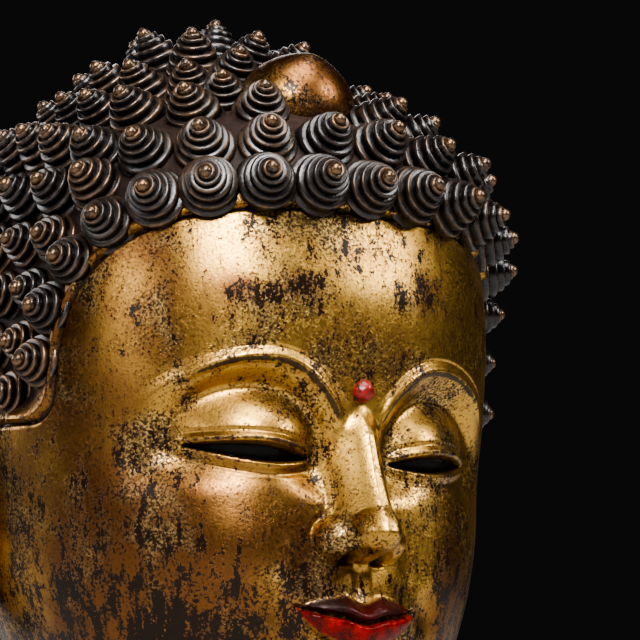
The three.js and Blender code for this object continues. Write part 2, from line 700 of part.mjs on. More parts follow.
function earGeometry(hand) {
  const rings = [[0.22, 1], [0.42, 1], [0.56, 1], [0.72, 1], [0.88, 1], [1, 0.4], [0.96, -0.6], [0.6, -1]];
  const place = (share, face, turn) => {
    const [across, along] = earOutline(turn);
    const out = face > 0 ? earRelief(share, turn) * face : EAR_THICKNESS * face;
    const tuck = EAR_TUCK * Math.min(along, 0);
    const rearward = across * share - EAR.back * along * share;
    const lift = out + tuck * share;
    const side = EAR.out + rearward * Math.sin(EAR.turn) + lift * Math.cos(EAR.turn);
    const forward = EAR.forward - rearward * Math.cos(EAR.turn) + lift * Math.sin(EAR.turn);
    return [hand * side, -forward, EAR.height + along * share];
  };
  const corners = [place(0, 1, 0)];
  for (const [share, face] of rings) {
    for (let i = 0; i < EAR_SEGMENTS; i++) corners.push(place(share, face, (i / EAR_SEGMENTS) * 2 * Math.PI));
  }
  corners.push(place(0, -1, 0));
  const faces = [];
  const at = (row, i) => 1 + row * EAR_SEGMENTS + (i % EAR_SEGMENTS);
  const last = corners.length - 1;
  for (let i = 0; i < EAR_SEGMENTS; i++) {
    faces.push([0, at(0, i), at(0, i + 1)]);
    for (let row = 0; row + 1 < rings.length; row++) {
      faces.push([at(row, i), at(row + 1, i), at(row + 1, i + 1)]);
      faces.push([at(row, i), at(row + 1, i + 1), at(row, i + 1)]);
    }
    faces.push([at(rings.length - 1, i + 1), at(rings.length - 1, i), last]);
  }
  const geometry = new THREE.BufferGeometry();
  geometry.setAttribute("position", new THREE.Float32BufferAttribute(corners.flat(), 3));
  geometry.setIndex((hand < 0 ? faces : faces.map(([a, b, c]) => [a, c, b])).flat());
  return geometry;
}

// Jewel and stone

function jewelGeometry() {
  const [side, up, deep] = JEWEL.half;
  const geometry = new THREE.SphereGeometry(1, 18, 10);
  geometry.scale(side, deep, up);
  geometry.rotateX(JEWEL.lean);
  return geometry.translate(0, -JEWEL.forward, JEWEL.height);
}

function stoneGeometry(grow) {
  const way = wayAtHeight(0, STONE.height);
  const seat = formed(0, way);
  const geometry = new THREE.SphereGeometry(STONE.radius + grow, 14, 9);
  return geometry.translate(seat.x, seat.y + STONE.radius * 0.5 - STONE.proud, seat.z);
}

// Solids, in millimetres with the cut at z = 0

function millimetres(geometry) {
  return geometry.translate(0, 0, -CUT).scale(FINGER, FINGER, FINGER);
}

function solid(geometry) {
  const bareGeometry = millimetres(geometry);
  bareGeometry.deleteAttribute("normal");
  bareGeometry.deleteAttribute("uv");
  const merged = mergeVertices(bareGeometry, 1e-4);
  const vertProperties = new Float32Array(merged.attributes.position.array);
  const triVerts = new Uint32Array(merged.index.array);
  return new wasm.Manifold(new wasm.Mesh({ numProp: 3, vertProperties, triVerts }));
}

function meshOf(name, body, look) {
  const { vertProperties, triVerts } = body.getMesh();
  const geometry = new THREE.BufferGeometry();
  geometry.setAttribute("position", new THREE.BufferAttribute(vertProperties, 3));
  geometry.setIndex(new THREE.BufferAttribute(triVerts, 1));
  geometry.computeVertexNormals();
  const mesh = new THREE.Mesh(geometry, new THREE.MeshStandardMaterial(look));
  mesh.name = name;
  return mesh;
}

function headSolid() {
  const surface = new Surface();
  plainSkin(surface);
  hairEdge(surface);
  refineFace(surface);
  addCurls(surface);
  const ears = solid(earGeometry(1)).add(solid(earGeometry(-1)));
  const socket = solid(stoneGeometry(SOCKET_GAP / FINGER));
  return solid(surface.geometry()).add(ears).add(solid(jewelGeometry())).subtract(socket);
}

const GILT_BRONZE = { color: 0xb98a3a, roughness: 0.42, metalness: 0.9 };
const RED_STONE = { color: 0x8a1710, roughness: 0.25, metalness: 0 };

const sculpture = new THREE.Group();
sculpture.name = "buddha_head";
sculpture.add(meshOf("head", headSolid(), GILT_BRONZE));
sculpture.add(meshOf("urna", solid(stoneGeometry(0)), RED_STONE));

export default sculpture;
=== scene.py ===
import math

import bpy
import numpy as np
from mathutils import Matrix, Vector


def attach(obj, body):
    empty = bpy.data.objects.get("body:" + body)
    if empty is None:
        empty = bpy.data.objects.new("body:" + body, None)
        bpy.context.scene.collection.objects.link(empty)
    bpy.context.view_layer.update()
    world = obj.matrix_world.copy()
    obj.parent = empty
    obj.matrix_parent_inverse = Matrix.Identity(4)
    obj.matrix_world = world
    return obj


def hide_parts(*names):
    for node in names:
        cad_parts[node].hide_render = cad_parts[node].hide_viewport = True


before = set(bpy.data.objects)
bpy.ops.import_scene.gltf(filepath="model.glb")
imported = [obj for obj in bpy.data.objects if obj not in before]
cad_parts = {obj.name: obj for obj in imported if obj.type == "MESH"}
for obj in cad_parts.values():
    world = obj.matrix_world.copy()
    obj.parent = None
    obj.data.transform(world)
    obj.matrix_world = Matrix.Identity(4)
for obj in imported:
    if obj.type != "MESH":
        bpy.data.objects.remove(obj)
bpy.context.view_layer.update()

# A gilded bronze head with snail-shell curls, cut flat at the foot of the neck.
#
# The form is worked out in fingers, the sculptor's unit: a face is twelve fingers from chin to hairline.
# "side" is the distance from the middle of the face, "forward" points out of the face, and "height" is
# measured up from the chin. The head faces -Y with +Z up and stands on its cut at z = 0.

FINGER = 0.015
CUT = -4.0
CUT_RADIUS = 4.5
SQUARENESS = 2.25
CROWN_SLOPE = -1.05

# Stations from the cut to the crown: reach and height in front, at the side and behind
STATIONS = np.array([
    (4.50, CUT, 4.50, CUT, 4.50, CUT),
    (4.05, -2.90, 4.20, -2.90, 4.35, -2.80),
    (3.90, -1.80, 4.10, -1.50, 4.25, -1.20),
    (4.20, -0.85, 4.15, -0.15, 4.25, 0.40),
    (5.30, -0.45, 4.45, 0.80, 4.50, 1.65),
    (6.35, 0.30, 5.05, 1.95, 5.00, 2.80),
    (6.70, 2.10, 5.65, 3.25, 5.50, 4.00),
    (6.85, 4.00, 6.00, 4.75, 5.90, 5.30),
    (6.80, 6.20, 6.20, 6.55, 6.20, 6.90),
    (6.95, 8.30, 6.28, 8.40, 6.35, 8.60),
    (6.95, 10.20, 6.28, 10.20, 6.25, 10.30),
    (6.60, 12.10, 6.10, 12.00, 6.00, 12.00),
    (6.50, 13.00, 5.75, 13.05, 5.45, 13.10),
    (6.15, 13.85, 4.95, 13.95, 4.60, 14.00),
    (5.40, 14.55, 3.95, 14.65, 3.65, 14.70),
    (4.20, 15.05, 3.10, 15.25, 2.90, 15.30),
    (2.75, 15.75, 2.35, 16.00, 2.30, 16.00),
    (1.45, 16.55, 1.40, 16.65, 1.40, 16.65),
    (0.00, 16.95, 0.00, 16.95, 0.00, 16.95),
])
CHIN_STATION = 5
EYE_STATION = 8

# The topknot sits behind the middle of the head
TOPKNOT_BACK = 0.7
TOPKNOT_RISE = (12.6, 16.4)

# Neck creases, and the way up from the cut over which they set in
CREASES = (-1.1, -2.0, -2.9)
CREASE_DEPTH = 0.16
CREASE_REACH = 0.34
CREASE_START = (0, 0.5)

# Features set in on the front of the head and just above the cut's rim
FEATURE_FRONT = (0.5, 3.0)
FEATURE_START = (0, 0.1)

# Soft masses of the face: rise, then side and height with their half widths
MASSES = (
    (0.24, 0, 1.35, 0.75, 0.8),  # chin
    (-0.24, 0, 1.5, 1.55, 0.4),  # hollow under the lip
    (0.34, 0, 2.0, 2.9, 1.2),  # round of the mouth
    (0.3, 3.0, 1.7, 4.2, 1.7),  # cheek
    (-0.16, 2.05, 0.4, 2.95, 0.5),  # corner of the mouth
    (-0.1, 1.45, 0.35, 4.0, 0.7),  # beside the nose
)

# Brows: side and height of the ends and the peak, and the sides over which their lines fade in and out
BROW_IN = (0.5, 7.3)
BROW_PEAK = (2.45, 8.7)
BROW_OUT = (4.85, 7.55)
BROW_CURVE = 2.3
BROW_START = (0.35, 0.75)
BROW_END = (3.9, 4.85)
BROW_WEAR_AND_SHADE_END = (3.6, 4.6)

# Lines along the brow: distance above it and half width, then rise or depth
BROW_CREST = (0.03, 0.2)
# The dark line just under the brow: partly a rubbed edge, partly painted shade under the brow ridge
BROW_WEAR_AND_SHADE = (-0.04, 0.13)
BROW_GROOVE = (0.27, 0.06)
CREST_RISE = 0.09
GROOVE_DEPTH = 0.035

# Eyes: ends of the lids, how far past and before them the lids fade, and the lids' curves
EYE_IN = (1.05, 6.42)
EYE_OUT = (4.0, 6.62)
EYE_PAST = 0.1
EYE_FADE = 0.3
LID_RISE = 0.2
LID_FALL = 0.24
LID_SKEW = (0.85, 0.9)
SLIT_EDGE = (-0.02, 0.06)
SLIT_DEPTH = 0.34

# Lines along the upper and lower lid: distance above it and half width, then rise or depth
UPPER_RIM = (0.085, 0.13)
LOWER_RIM = (-0.085, 0.13)
LOWER_RIM_SHARE = 0.76
RIM_RISE = 0.085
UPPER_FOLD = (0.27, 0.08)
LOWER_FOLD = (-0.27, 0.1)
FOLD_DEPTH = (0.05, 0.04)

# Rounded lid over the eyeball: top, middle, half size and how softly it joins
LID_TOP = 0.16
LID_MIDDLE = (2.5, 6.72)
LID_HALF = (1.9, 1.35)
LID_BLEND = 0.42

# Eye sockets: depth, and where they fade in and out below the brow, along it and in height
SOCKET_DEPTH = 0.64
SOCKET_TOP = (-0.05, 0.8)
SOCKET_FOOT = (1.3, 3.4)
SOCKET_IN = (0.2, 1.1)
SOCKET_OUT = (3.2, 5.4)
SOCKET_LEVEL = (5.3, 6.6)

# Nose: heights, rise and curves of the ridge, and half widths with what they gain towards the tip
NOSE_TOP = 8.6
NOSE_TIP = 4.72
NOSE_FOOT = 4.02
NOSE_RISE = 1.5
NOSE_BLEND = 0.28
RIDGE_CURVE = 1.22
UNDER_CURVE = (1.9, 0.75)
RIDGE_HALF = 0.05
RIDGE_GAIN = 0.09
FOOT_HALF = 0.5
FOOT_GAIN = 0.52
FOOT_CURVE = 1.3
ROOT_FADE = 6.9
ROOT_DROP = 0.9

# Walls of the nose: bulge, how deep they start, and their drop beyond the foot
WALL_BULGE = 0.55
WALL_SUNK = 0.25
WALL_DROP = 0.6
WALL_REACH = 0.5

# Tip and wings of the nose: middle, half size, rise at the edge and the top, and how softly they join
TIP_MIDDLE = (0, 4.76)
TIP_HALF = (0.62, 0.6)
TIP_RISE = (0.5, 1.5)
TIP_BLEND = 0.4
WING_MIDDLE = (0.7, 4.56)
WING_HALF = (0.54, 0.52)
WING_RISE = (-0.05, 0.72)
WING_BLEND = 0.42
SWELLING_DROP = 0.6
SWELLING_LIMIT = 4

# Line round a wing: distance from its middle and half width, and where it fades in
WING_LINE = (1.12, 0.24)
WING_LINE_LEVEL = (4.4, 4.8)
WING_LINE_SIDE = (0.35, 0.6)
WING_LINE_DEPTH = 0.03

# Nostrils: middle and half size in side and height
NOSTRIL_SIDE = (0.42, 0.26)
NOSTRIL_LEVEL = (4.14, 0.2)
NOSTRIL_DEPTH = 0.42

# Furrow from the nose to the lip
FURROW_DEPTH = 0.09
FURROW_HALF = 0.32
FURROW_FOOT = (3.1, 3.5)
FURROW_TOP = (3.75, 4.15)

# Mouth: place, how its line rises to the corners and dips in the middle, and the parting of the lips
MOUTH_HEIGHT = 2.74
MOUTH_HALF = 1.55
MOUTH_LIFT = 0.2
MOUTH_DIP = 0.1
MOUTH_DIP_HALF = 0.55
PARTING_DEPTH = 0.2
PARTING_HALF = 0.11
PARTING_END = (1.4, 1.75)

# Lips: thickness with its curve to the corners, notch, rise, and the round of each
UPPER_LIP = 0.56
LOWER_LIP = 0.66
UPPER_LIP_CURVE = 0.9
LOWER_LIP_CURVE = 0.5
NOTCH_DEPTH = 0.1
NOTCH_HALF = 0.45
UPPER_LIP_RISE = 0.36
LOWER_LIP_RISE = 0.42
UPPER_LIP_FALL = (0.25, 1.15)
LOWER_LIP_ROUND = (0.4, 0.68)
LIP_FULLNESS = 0.6

# Hair: the arch it leaves open for the face, its edge before the ear and at the nape, how its corner rounds,
# and the cap's step with the groove before it
HAIR_TOP = 12.3
HAIR_BASE = 7.0
HAIR_HALF = math.radians(66)
HAIR_SIDE = 7.2
HAIR_NAPE = 2.65
NAPE_TURN = (math.radians(98), math.radians(122))
HAIR_ROUND = 0.9
ARCH_POWER = 3
HEAD_RADIUS = 6.2
CAP = 0.14
CAP_EDGE = (0, 0.09)
HAIRLINE_GROOVE = 0.07
HAIRLINE = (-0.03, 0.07)

# Curls: foot radius, height, depth of the sunk foot, whorls, taper and the knob on the tip
CURL_RADIUS = 0.73
CURL_HEIGHT = 0.98
CURL_FOOT = 0.6
CURL_TURNS = 6.6
CURL_STEPS = 20
CURL_TAPER = 0.85
CURL_KNOB = 0.16
KNOB_SUNK = 0.03
KNOB_FINENESS = 2

# Whorls fade in over the first turn and out towards the tip, whose paint starts below its top
WHORL_START = (0, 0.9)
WHORL_END = (0.8, 1)
CREST_START = (0.5, 1)
TIP_PAINT = (0.12, 0.02)

# Each curl has a size and warmth of its own, and lower curls are warmer
CURL_VARIES = 0.04
WARM_CHANCE = (-0.3, 0.5)
WARM_BELOW = (11.5, 8)

# Section across one whorl, from its edge over the ledge and up the next wall: share, lift and wear
WHORL = (
    (0.0, 0.042, 1.0),
    (0.12, 0.02, 0.6),
    (0.3, -0.055, 0.0),
    (0.55, -0.004, 0.0),
    (0.82, 0.034, 0.25),
    (1.0, 0.042, 1.0),
)

# Curl rows: distance between rows, along the first row, along the rows above it and along the rest
ROW_STEP = 1.25
FIRST_STEP = 1.29
FIRST_SHIFT = 0.15
UPPER_STEP = 1.22
LOWER_STEP = 1.36
EDGE_MARGIN = 0.55
SECOND_MARGIN = 1.75

# Rows above the first crowd a little towards it, and sag beside the forehead: depth, angle and reach
ROW_CROWDING = 1.08
ROW_SAG = 0.6
SAG_ROWS = 4
SAG_TURN = (math.radians(46), math.radians(42))

# Curls lean outwards: steepest rise over the forehead, and what each finger of height adds to it
LEAN_LEAST = math.radians(20)
LEAN_GAIN = math.radians(10)
LEAN_HEIGHT = 12.85
LEAN_CROWN = (0.3, 1.2)

# Scalp and curls lie deeper at the temples: depths, angle with its reach, and heights where it fades
TEMPLE_DIP = 0.55
TEMPLE_SINK = 0.3
TEMPLE_TURN = (math.radians(78), math.radians(44))
TEMPLE_HEIGHT = (12.0, 14.4)
TEMPLE_EDGE = (0, 1.0)

# Gaps between the rows that are wide enough for one more curl, and the grid on which they are looked for
GAP = 1.14
GAP_TURNS = 240
GAP_STEP = 0.12

# Jewel in front of the topknot: place, half size, lean, fullness, and distance from curls in rows and gaps
JEWEL_FORWARD = 3.5
JEWEL_HEIGHT = 15.3
JEWEL_HALF = (1.42, 1.25, 1.4)
JEWEL_LEAN = math.radians(30)
JEWEL_FULLNESS = 0.05
JEWEL_WAVES = 3
JEWEL_CLEAR = 1.55
JEWEL_FREE = 1.95

# Ears: middle, how far they stand out, half height and width, turn, lean and thickness
EAR_FORWARD = -1.2
EAR_HEIGHT = 4.85
EAR_OUT = 6.5
EAR_HALF = 3.6
EAR_WIDE = 1.4
EAR_TURN = math.radians(24)
EAR_BACK = 0.12
EAR_TUCK = 0.13
EAR_THICKNESS = 0.55
EAR_MARGIN = 0.15

# Ear's outline: share of its width at the lobe, heights over which it widens, and drift of the lobe
EAR_LOBE = 0.65
EAR_WIDENS = (-1.2, 2.0)
EAR_DRIFT = 0.16
EAR_DRIFT_START = -1.0
EAR_ROUND = 0.75
EAR_SPREAD = 0.7
EAR_EDGE = 10

# Ear's relief: place and half width of rim and fold, reach of the hollow, and what the lobe has of them
EAR_UPPER = (-0.45, 0.1)
EAR_LEVEL = 0.2
EAR_RIM = (0.87, 0.16)
EAR_RIM_RISE = 0.36
EAR_RIM_LOBE = 0.4
EAR_FOLD = (0.52, 0.18)
EAR_FOLD_RISE = 0.26
EAR_FOLD_REAR = (-0.6, 0.3)
EAR_HOLLOW = (0.15, 0.5)
EAR_HOLLOW_DEPTH = 0.34
EAR_HOLLOW_LOBE = 0.3

# Red stone between the brows: place, size, how far it stands proud, and the small nicks in it
STONE_HEIGHT = 8.05
STONE_RADIUS = 0.28
STONE_SUNK = 0.5
STONE_PROUD = 0.1
NICK_DEPTH = 0.05
NICK_RATE = 17
NICK_SHIFTS = (0.4, 1.9, 3.1)

# Fineness: subdivisions or segments and rings of the primitives, samples along curves,
# halvings of a search, the distance for merging corners, and least sizes
SKIN_FINENESS = 5
STONE_FINENESS = 5
EAR_RINGS = (72, 48)
JEWEL_RINGS = (64, 40)
LATITUDE_STEPS = 700
ROW_STEPS = 600
HALVINGS = 40
MERGE = 1e-4
SMALL = 1e-3
TINY = 1e-6

# How far below the crown directions are taken, and the share of the way up that has latitudes
CROWN_GAP = 0.05
CROWN_SHARE = 0.9995

# Finer skin: how near the hair's edge, and side and height of the parts of the face
SKIN_DEPTH = 0.5
FACE_DEPTH = 0.45
FACE_FORWARD = 2.2
FACE_FOOT = -0.4
HAIRLINE_REACH = 0.3
FINE_FORWARD = 3
MIDDLE_BOX = ((0, 5.1), (0.2, 9.4))
EYE_BOX = ((0.8, 4.3), (5.75, 7.25))
NOSE_BOX = ((0, 1.5), (3.7, 8.4))
MOUTH_BOX = ((0, 1.9), (1.85, 3.6))
BROW_BOX = ((0, 4.9), (-0.55, 0.55))

# Paint and wear on the skin: where they set in on the front, how they fade on the lips, and the ridges' wear
PAINT_FRONT = (2.0, 3.5)
LIP_PARTING = (0, 0.1)
UPPER_LIP_EDGE = (0.86, 1.0)
LOWER_LIP_EDGE = (0.84, 0.98)
LID_WEAR = 0.8
RIDGE_WEAR = 0.6
RIDGE_LINE = (0.1, 0.12)
RIDGE_FOOT = (4.3, 4.9)
RIDGE_TOP = (7.0, 8.2)

# Angles in degrees beyond which edges stay sharp
SHARP = 50
CURL_SHARP = 70
STONE_SHARP = 80

# Viewing angle, distance and lens, with the middle of the frame beside and below the aim
AIM_HEIGHT = 12.5
VIEW_AZIMUTH = math.radians(-29.6)
VIEW_ELEVATION = math.radians(-8.3)
VIEW_ROLL = math.radians(-2.0)
VIEW_DISTANCE = 80.0
FRAME_RIGHT = 2.494
FRAME_DOWN = 2.163
LENS = 176.9
NEAREST = 0.05

# Floor and light in metres and watts: the soft boxes' places, sizes and powers
FLOOR_SIZE = 30
FLOOR_COLOR = (0.6, 0.59, 0.575, 1)
FLOOR_ROUGHNESS = 0.8
WORLD_COLOR = (0.012, 0.012, 0.013, 1)
LIGHT_AIM = (0, 0, 0.19)
SOFTBOXES = {
    "key": ((-0.55, -0.95, 0.98), 0.45, 17),
    "right": ((0.78, -0.87, 0.95), 0.5, 8),
    "left": ((-1.1, -0.25, 0.5), 0.4, 2.4),
    "top": ((0.0, -0.45, 1.25), 0.6, 9),
    "back_left": ((-0.7, 0.9, 0.6), 0.6, 4),
    "back_right": ((0.45, 1.0, 0.7), 0.6, 3),
}

# Places where the gilding is worn most, and broad places on the lower face darkened as painted shade, on the
# skin: side, height, half width, half height and amount
WEAR_AND_SHADE = (
    (-3.0, 10.3, 0.55, 0.4, 0.55),
    (-1.75, 10.4, 0.5, 0.35, 0.5),
    (-0.4, 11.3, 1.2, 0.5, 0.25),
    (1.9, 10.6, 0.6, 0.5, 0.4),
    (-3.7, 1.9, 1.1, 1.5, 0.5),
    (-5.2, 3.2, 1.8, 3.4, 0.26),
    # Painted shade: a broad hill that darkens and browns the lower face
    (-1.5, 1.2, 4.0, 2.4, 0.14),
    (1.0, 9.6, 2.6, 1.4, 0.1),
    (-1.6, 4.9, 0.7, 1.2, 0.2),
    (2.8, 3.6, 0.8, 1.6, 0.35),
    (0.2, 0.6, 1.6, 0.8, 0.2),
    (3.9, 1.4, 1.2, 1.4, 0.3),
    # Painted shade: a broad hill that darkens and browns the lower middle of the face
    (0.6, 1.6, 3.6, 2.4, 0.24),
)

# Colours
GOLD = (0.57, 0.35, 0.1, 1)
PALE_GOLD = (0.8, 0.6, 0.29, 1)
BROWN_GOLD = (0.2, 0.09, 0.034, 1)
LACQUER = (0.009, 0.006, 0.004, 1)
BROWN_LACQUER = (0.034, 0.017, 0.009, 1)
DARK_RED = (0.075, 0.006, 0.004, 1)
RED = (0.33, 0.016, 0.01, 1)
HAIR_GROUND = (0.028, 0.018, 0.016, 1)
BROWN_GROUND = (0.055, 0.033, 0.026, 1)
DARK_BRONZE = (0.026, 0.019, 0.016, 1)
BROWN_BRONZE = (0.06, 0.037, 0.026, 1)
WORN_BRONZE = (0.24, 0.15, 0.09, 1)
BLACK = (0.006, 0.004, 0.0035, 1)

# Gilding: size in metres, detail, roughness and shift of its patterns, and how far specks and streaks
# are drawn out downwards
CLOUD = (0.07, 2, 0.5, 1.0)
PATCH = (0.026, 4, 0.6, 2.0)
SPECK = (0.0048, 9, 0.76, 3.0)
STREAK = (0.0034, 5, 0.68, 5.0)
GRAIN = (0.001, 2, 0.6, 4.0)
CRACKLE = (0.0026, 3, 0.6, 11.0)
SPECK_STRETCH = (1, 1, 0.62)
STREAK_STRETCH = (1, 1, 0.3)

# What each pattern, the worn places with the lower face's painted shade, and the piece add to the wear, and
# when leaf is thin or worn through
SPECK_WEAR = 0.55
STREAK_WEAR = 0.45
GRAIN_WEAR = 0.3
PATCH_WEAR = 0.26
PLACE_WEAR_AND_SHADE = 0.2
PLACE_BROWN_AND_SHADE = 0.45
SKIN_RUBBED = -0.002
EAR_RUBBED = 0.02
JEWEL_RUBBED = 0.03
JEWEL_BROWNED = 0.12
THIN = (0.48, 0.575)
WORN_THROUGH = (0.56, 0.585)

# Fine cracks in some patches: half width as a square, the patches, and how dark they are
CRACK_HALF = (0.0001, 0.0009)
CRACK_PATCH = (0.4, 0.6)
CRACK_DARK = 0.6

# Tones of the leaf: where each sets in on its pattern, and its share
BROWN_CLOUD = (0.4, 0.66)
PALE_PATCH = (0.5, 0.72)
PALE_SHARE = 0.6
THIN_SHARE = 0.6
PEPPER = (0.5, 0.66)
PEPPER_PATCH = 0.7
PEPPER_SHARE = 0.8

# Surface of the gilding: roughness of leaf and lacquer, relief of grains and specks, and the clear coat
LEAF_ROUGH = 0.36
GRAIN_ROUGH = 0.5
LACQUER_ROUGH = 0.26
GRAIN_RELIEF = 0.8
SPECK_RELIEF = 0.15
LEAF_BUMP = (0.00025, 0.4)
LEAF_GLOSS = 0.2
LEAF_COAT = 0.1
LEAF_COAT_ROUGH = 0.3

# Paint on the skin: brow and lid edges rubbed, with painted shade along the underside of the brow; the
# painted shadow of the cap's step in the groove before the hair; chips in the lips and the bare scalp
EDGE_RUBBED_AND_SHADED = (0.56, 0.82)
EDGE_SPECKS = 2.2
EDGE_DARK = 0.9
HAIRLINE_SHADOW_START = (-0.1, -0.06)
HAIRLINE_SHADOW_END = (-0.01, 0.03)
LIP_CHIP = (1.16, 1.24)
LIP_PATCH = (0.4, 0.7)
TWO_TONE = (0.4, 0.6)
SCALP = (0.3, 0.36)
SCALP_SPECKS = 0.8
SCALP_ROUGH = 0.6
SLIT_ROUGH = 0.32

# Curls: size in metres, detail, roughness and shift of their patterns, what specks, clouds and warmth add
# to rubbing and browning, and where whorls and tips are rubbed, brown or dark
CURL_CLOUD = (0.03, 3, 0.5, 6.0)
CURL_SPECK = (0.004, 6, 0.68, 7.0)
CURL_GRAIN = (0.0009, 3, 0.6, 8.0)
SPECK_RUBS = 2.0
CLOUD_RUBS = 1.2
WARM_RUBS = 0.5
SPECK_BROWNS = 0.8
WARM_BROWNS = 0.25
CURL_RUBBED = (0.8, 1.3)
TIP_RUBBED = (0.36, 0.52)
CURL_BROWN = (0.5, 0.75)
WHORL_DARK = (0.3, 0.02)
RUBBED_SHARE = 0.8

# Surface of the curls: roughness with what specks and grains add, relief of the grains, bump and gloss
CURL_ROUGH = 0.27
CURL_SPECK_ROUGH = 0.3
CURL_SPECK_LEVEL = 0.4
CURL_GRAIN_ROUGH = 0.2
CURL_GRAIN_RELIEF = 0.4
CURL_BUMP = (0.0004, 0.3)
CURL_GLOSS = 0.7

# Stone: size in metres, detail, roughness and shift of its patterns, mottling, veins and polish
STONE_MOTTLE = (0.002, 5, 0.65, 9.0)
STONE_VEIN = (0.0035, 4, 0.7, 10.0)
MOTTLED = (0.4, 0.65)
VEINED = (0.56, 0.66)
STONE_ROUGH = 0.3
MOTTLE_ROUGH = 0.3
STONE_COAT = 0.3

# Seed of the curls' chances
chance = np.random.default_rng(11)


# Plain curves


def ease(low, high, value):
    share = np.clip((value - low) / (high - low), 0, 1)
    return share * share * (3 - 2 * share)


def bell(value, centre, reach):
    return np.clip(1 - ((value - centre) / reach) ** 2, 0, 1) ** 2


def hill(side, height, middle, width, level, tall):
    return np.exp(-(((side - middle) / width) ** 2) - ((height - level) / tall) ** 2)


def soft_max(one, other, blend):
    share = np.clip(0.5 + 0.5 * (one - other) / blend, 0, 1)
    return other + (one - other) * share + blend * share * (1 - share)


def above(line, side, height):
    """Distance from a curve height = line(side), positive above it."""
    step = 0.02
    slope = (line(side + step) - line(side - step)) / (2 * step)
    return (height - line(side)) / np.sqrt(1 + slope**2)


def solve(rising, low, high):
    """Where rising functions cross nought, all at once."""
    for _ in range(HALVINGS):
        middle = (low + high) / 2
        under = rising(middle) < 0
        low = np.where(under, middle, low)
        high = np.where(under, high, middle)
    return (low + high) / 2


# Bare loft through the stations


def station_ways():
    chords = np.diff(STATIONS, axis=0)
    lengths = sum(np.hypot(chords[:, i], chords[:, i + 1]) for i in (0, 2, 4)) / 3
    return np.append(0, np.cumsum(lengths))


KNOTS = station_ways()
CROWN = KNOTS[-1]
SLOPES = np.gradient(STATIONS, KNOTS, axis=0)
SLOPES[-1] = (CROWN_SLOPE, 0) * 3


def profile(way):
    """Reach and height in front, at the side and behind, by cubics through the stations."""
    way = np.clip(way, 0, CROWN)
    at = np.clip(np.searchsorted(KNOTS, way, side="right") - 1, 0, len(KNOTS) - 2)
    span = (KNOTS[at + 1] - KNOTS[at])[..., None]
    t = (way - KNOTS[at])[..., None] / span
    to_end = t * t * (3 - 2 * t)
    leave = t * (1 - t) ** 2 * span
    arrive = t * t * (t - 1) * span
    between = STATIONS[at] * (1 - to_end) + STATIONS[at + 1] * to_end
    return between + leave * SLOPES[at] + arrive * SLOPES[at + 1]


def bare(angle, way):
    """Side, forward and height on the loft, at an angle round from the front."""
    front, front_height, wide, wide_height, rear, rear_height = np.moveaxis(profile(way), -1, 0)
    cos = np.cos(angle)
    sin = np.sin(angle)
    reach = np.maximum(np.where(cos >= 0, front, rear), TINY)
    end_height = np.where(cos >= 0, front_height, rear_height)
    across = np.abs(sin / np.maximum(wide, TINY)) ** SQUARENESS
    along = np.abs(cos / reach) ** SQUARENESS
    radius = (across + along) ** (-1 / SQUARENESS)
    height = wide_height + (end_height - wide_height) * cos * cos
    drift = TOPKNOT_BACK * ease(*TOPKNOT_RISE, height)
    return radius * sin, radius * cos - drift, height


def points(side, forward, height):
    return np.stack([side, -forward, height], axis=-1)


def outward(angle, way):
    """Directions straight out of the loft, at the crown those of a place just below it."""
    step = 0.02
    low = np.minimum(way, CROWN - CROWN_GAP)
    around = points(*bare(angle + step, low)) - points(*bare(angle - step, low))
    up = points(*bare(angle, low + step)) - points(*bare(angle, np.maximum(low - step, 0)))
    normal = np.cross(around, up)
    return normal / np.linalg.norm(normal, axis=-1, keepdims=True)


def ring_radius(way):
    front, _, wide, _, rear, _ = np.moveaxis(profile(way), -1, 0)
    return (2 * wide + front + rear) / 4


def way_at(angle, height):
    low = np.zeros_like(angle)
    return solve(lambda way: bare(angle, way)[2] - height, low, low + CROWN)


def latitude_table():
    """Latitudes on a unit ball whose small circles stay round on the head, and their ways up the loft."""
    ways = np.linspace(0, CROWN * CROWN_SHARE, LATITUDE_STEPS)
    radius = np.maximum(ring_radius(ways), SMALL)
    turned = np.append(0, np.cumsum(np.diff(ways) * (1 / radius[1:] + 1 / radius[:-1]) / 2))
    turned -= np.interp(KNOTS[EYE_STATION], ways, turned)
    latitudes = 2 * np.arctan(np.exp(turned)) - math.pi / 2
    return np.append(latitudes, math.pi / 2), np.append(ways, CROWN)


LATITUDES, LATITUDE_WAYS = latitude_table()


def from_ball(spots):
    """Angle and way of directions on the unit ball."""
    spots = spots / np.linalg.norm(spots, axis=1, keepdims=True)
    latitude = np.arcsin(np.clip(spots[:, 2], -1, 1))
    return np.arctan2(spots[:, 0], -spots[:, 1]), np.interp(latitude, LATITUDES, LATITUDE_WAYS)


# Face: how far each feature stands forward of the bare form


def brow_line(side):
    inner = np.maximum(BROW_PEAK[0] - side, 0) / (BROW_PEAK[0] - BROW_IN[0])
    outer = np.maximum(side - BROW_PEAK[0], 0) / (BROW_OUT[0] - BROW_PEAK[0])
    inner_fall = (BROW_PEAK[1] - BROW_IN[1]) * inner**BROW_CURVE
    outer_fall = (BROW_PEAK[1] - BROW_OUT[1]) * outer**2
    return BROW_PEAK[1] - inner_fall - outer_fall


def lid_line(side, swell, skew):
    part = np.clip((side - EYE_IN[0]) / (EYE_OUT[0] - EYE_IN[0]), 0, 1)
    return EYE_IN[1] + (EYE_OUT[1] - EYE_IN[1]) * part + swell * np.sin(math.pi * part**skew)


def upper_lid(side):
    return lid_line(side, LID_RISE, LID_SKEW[0])


def lower_lid(side):
    return lid_line(side, -LID_FALL, LID_SKEW[1])


def lip_share(side):
    return np.clip(1 - (side / MOUTH_HALF) ** 2, 0, 1)


def mouth_line(side):
    return MOUTH_HEIGHT + MOUTH_LIFT * (side / MOUTH_HALF) ** 2 - MOUTH_DIP * bell(side, 0, MOUTH_DIP_HALF)


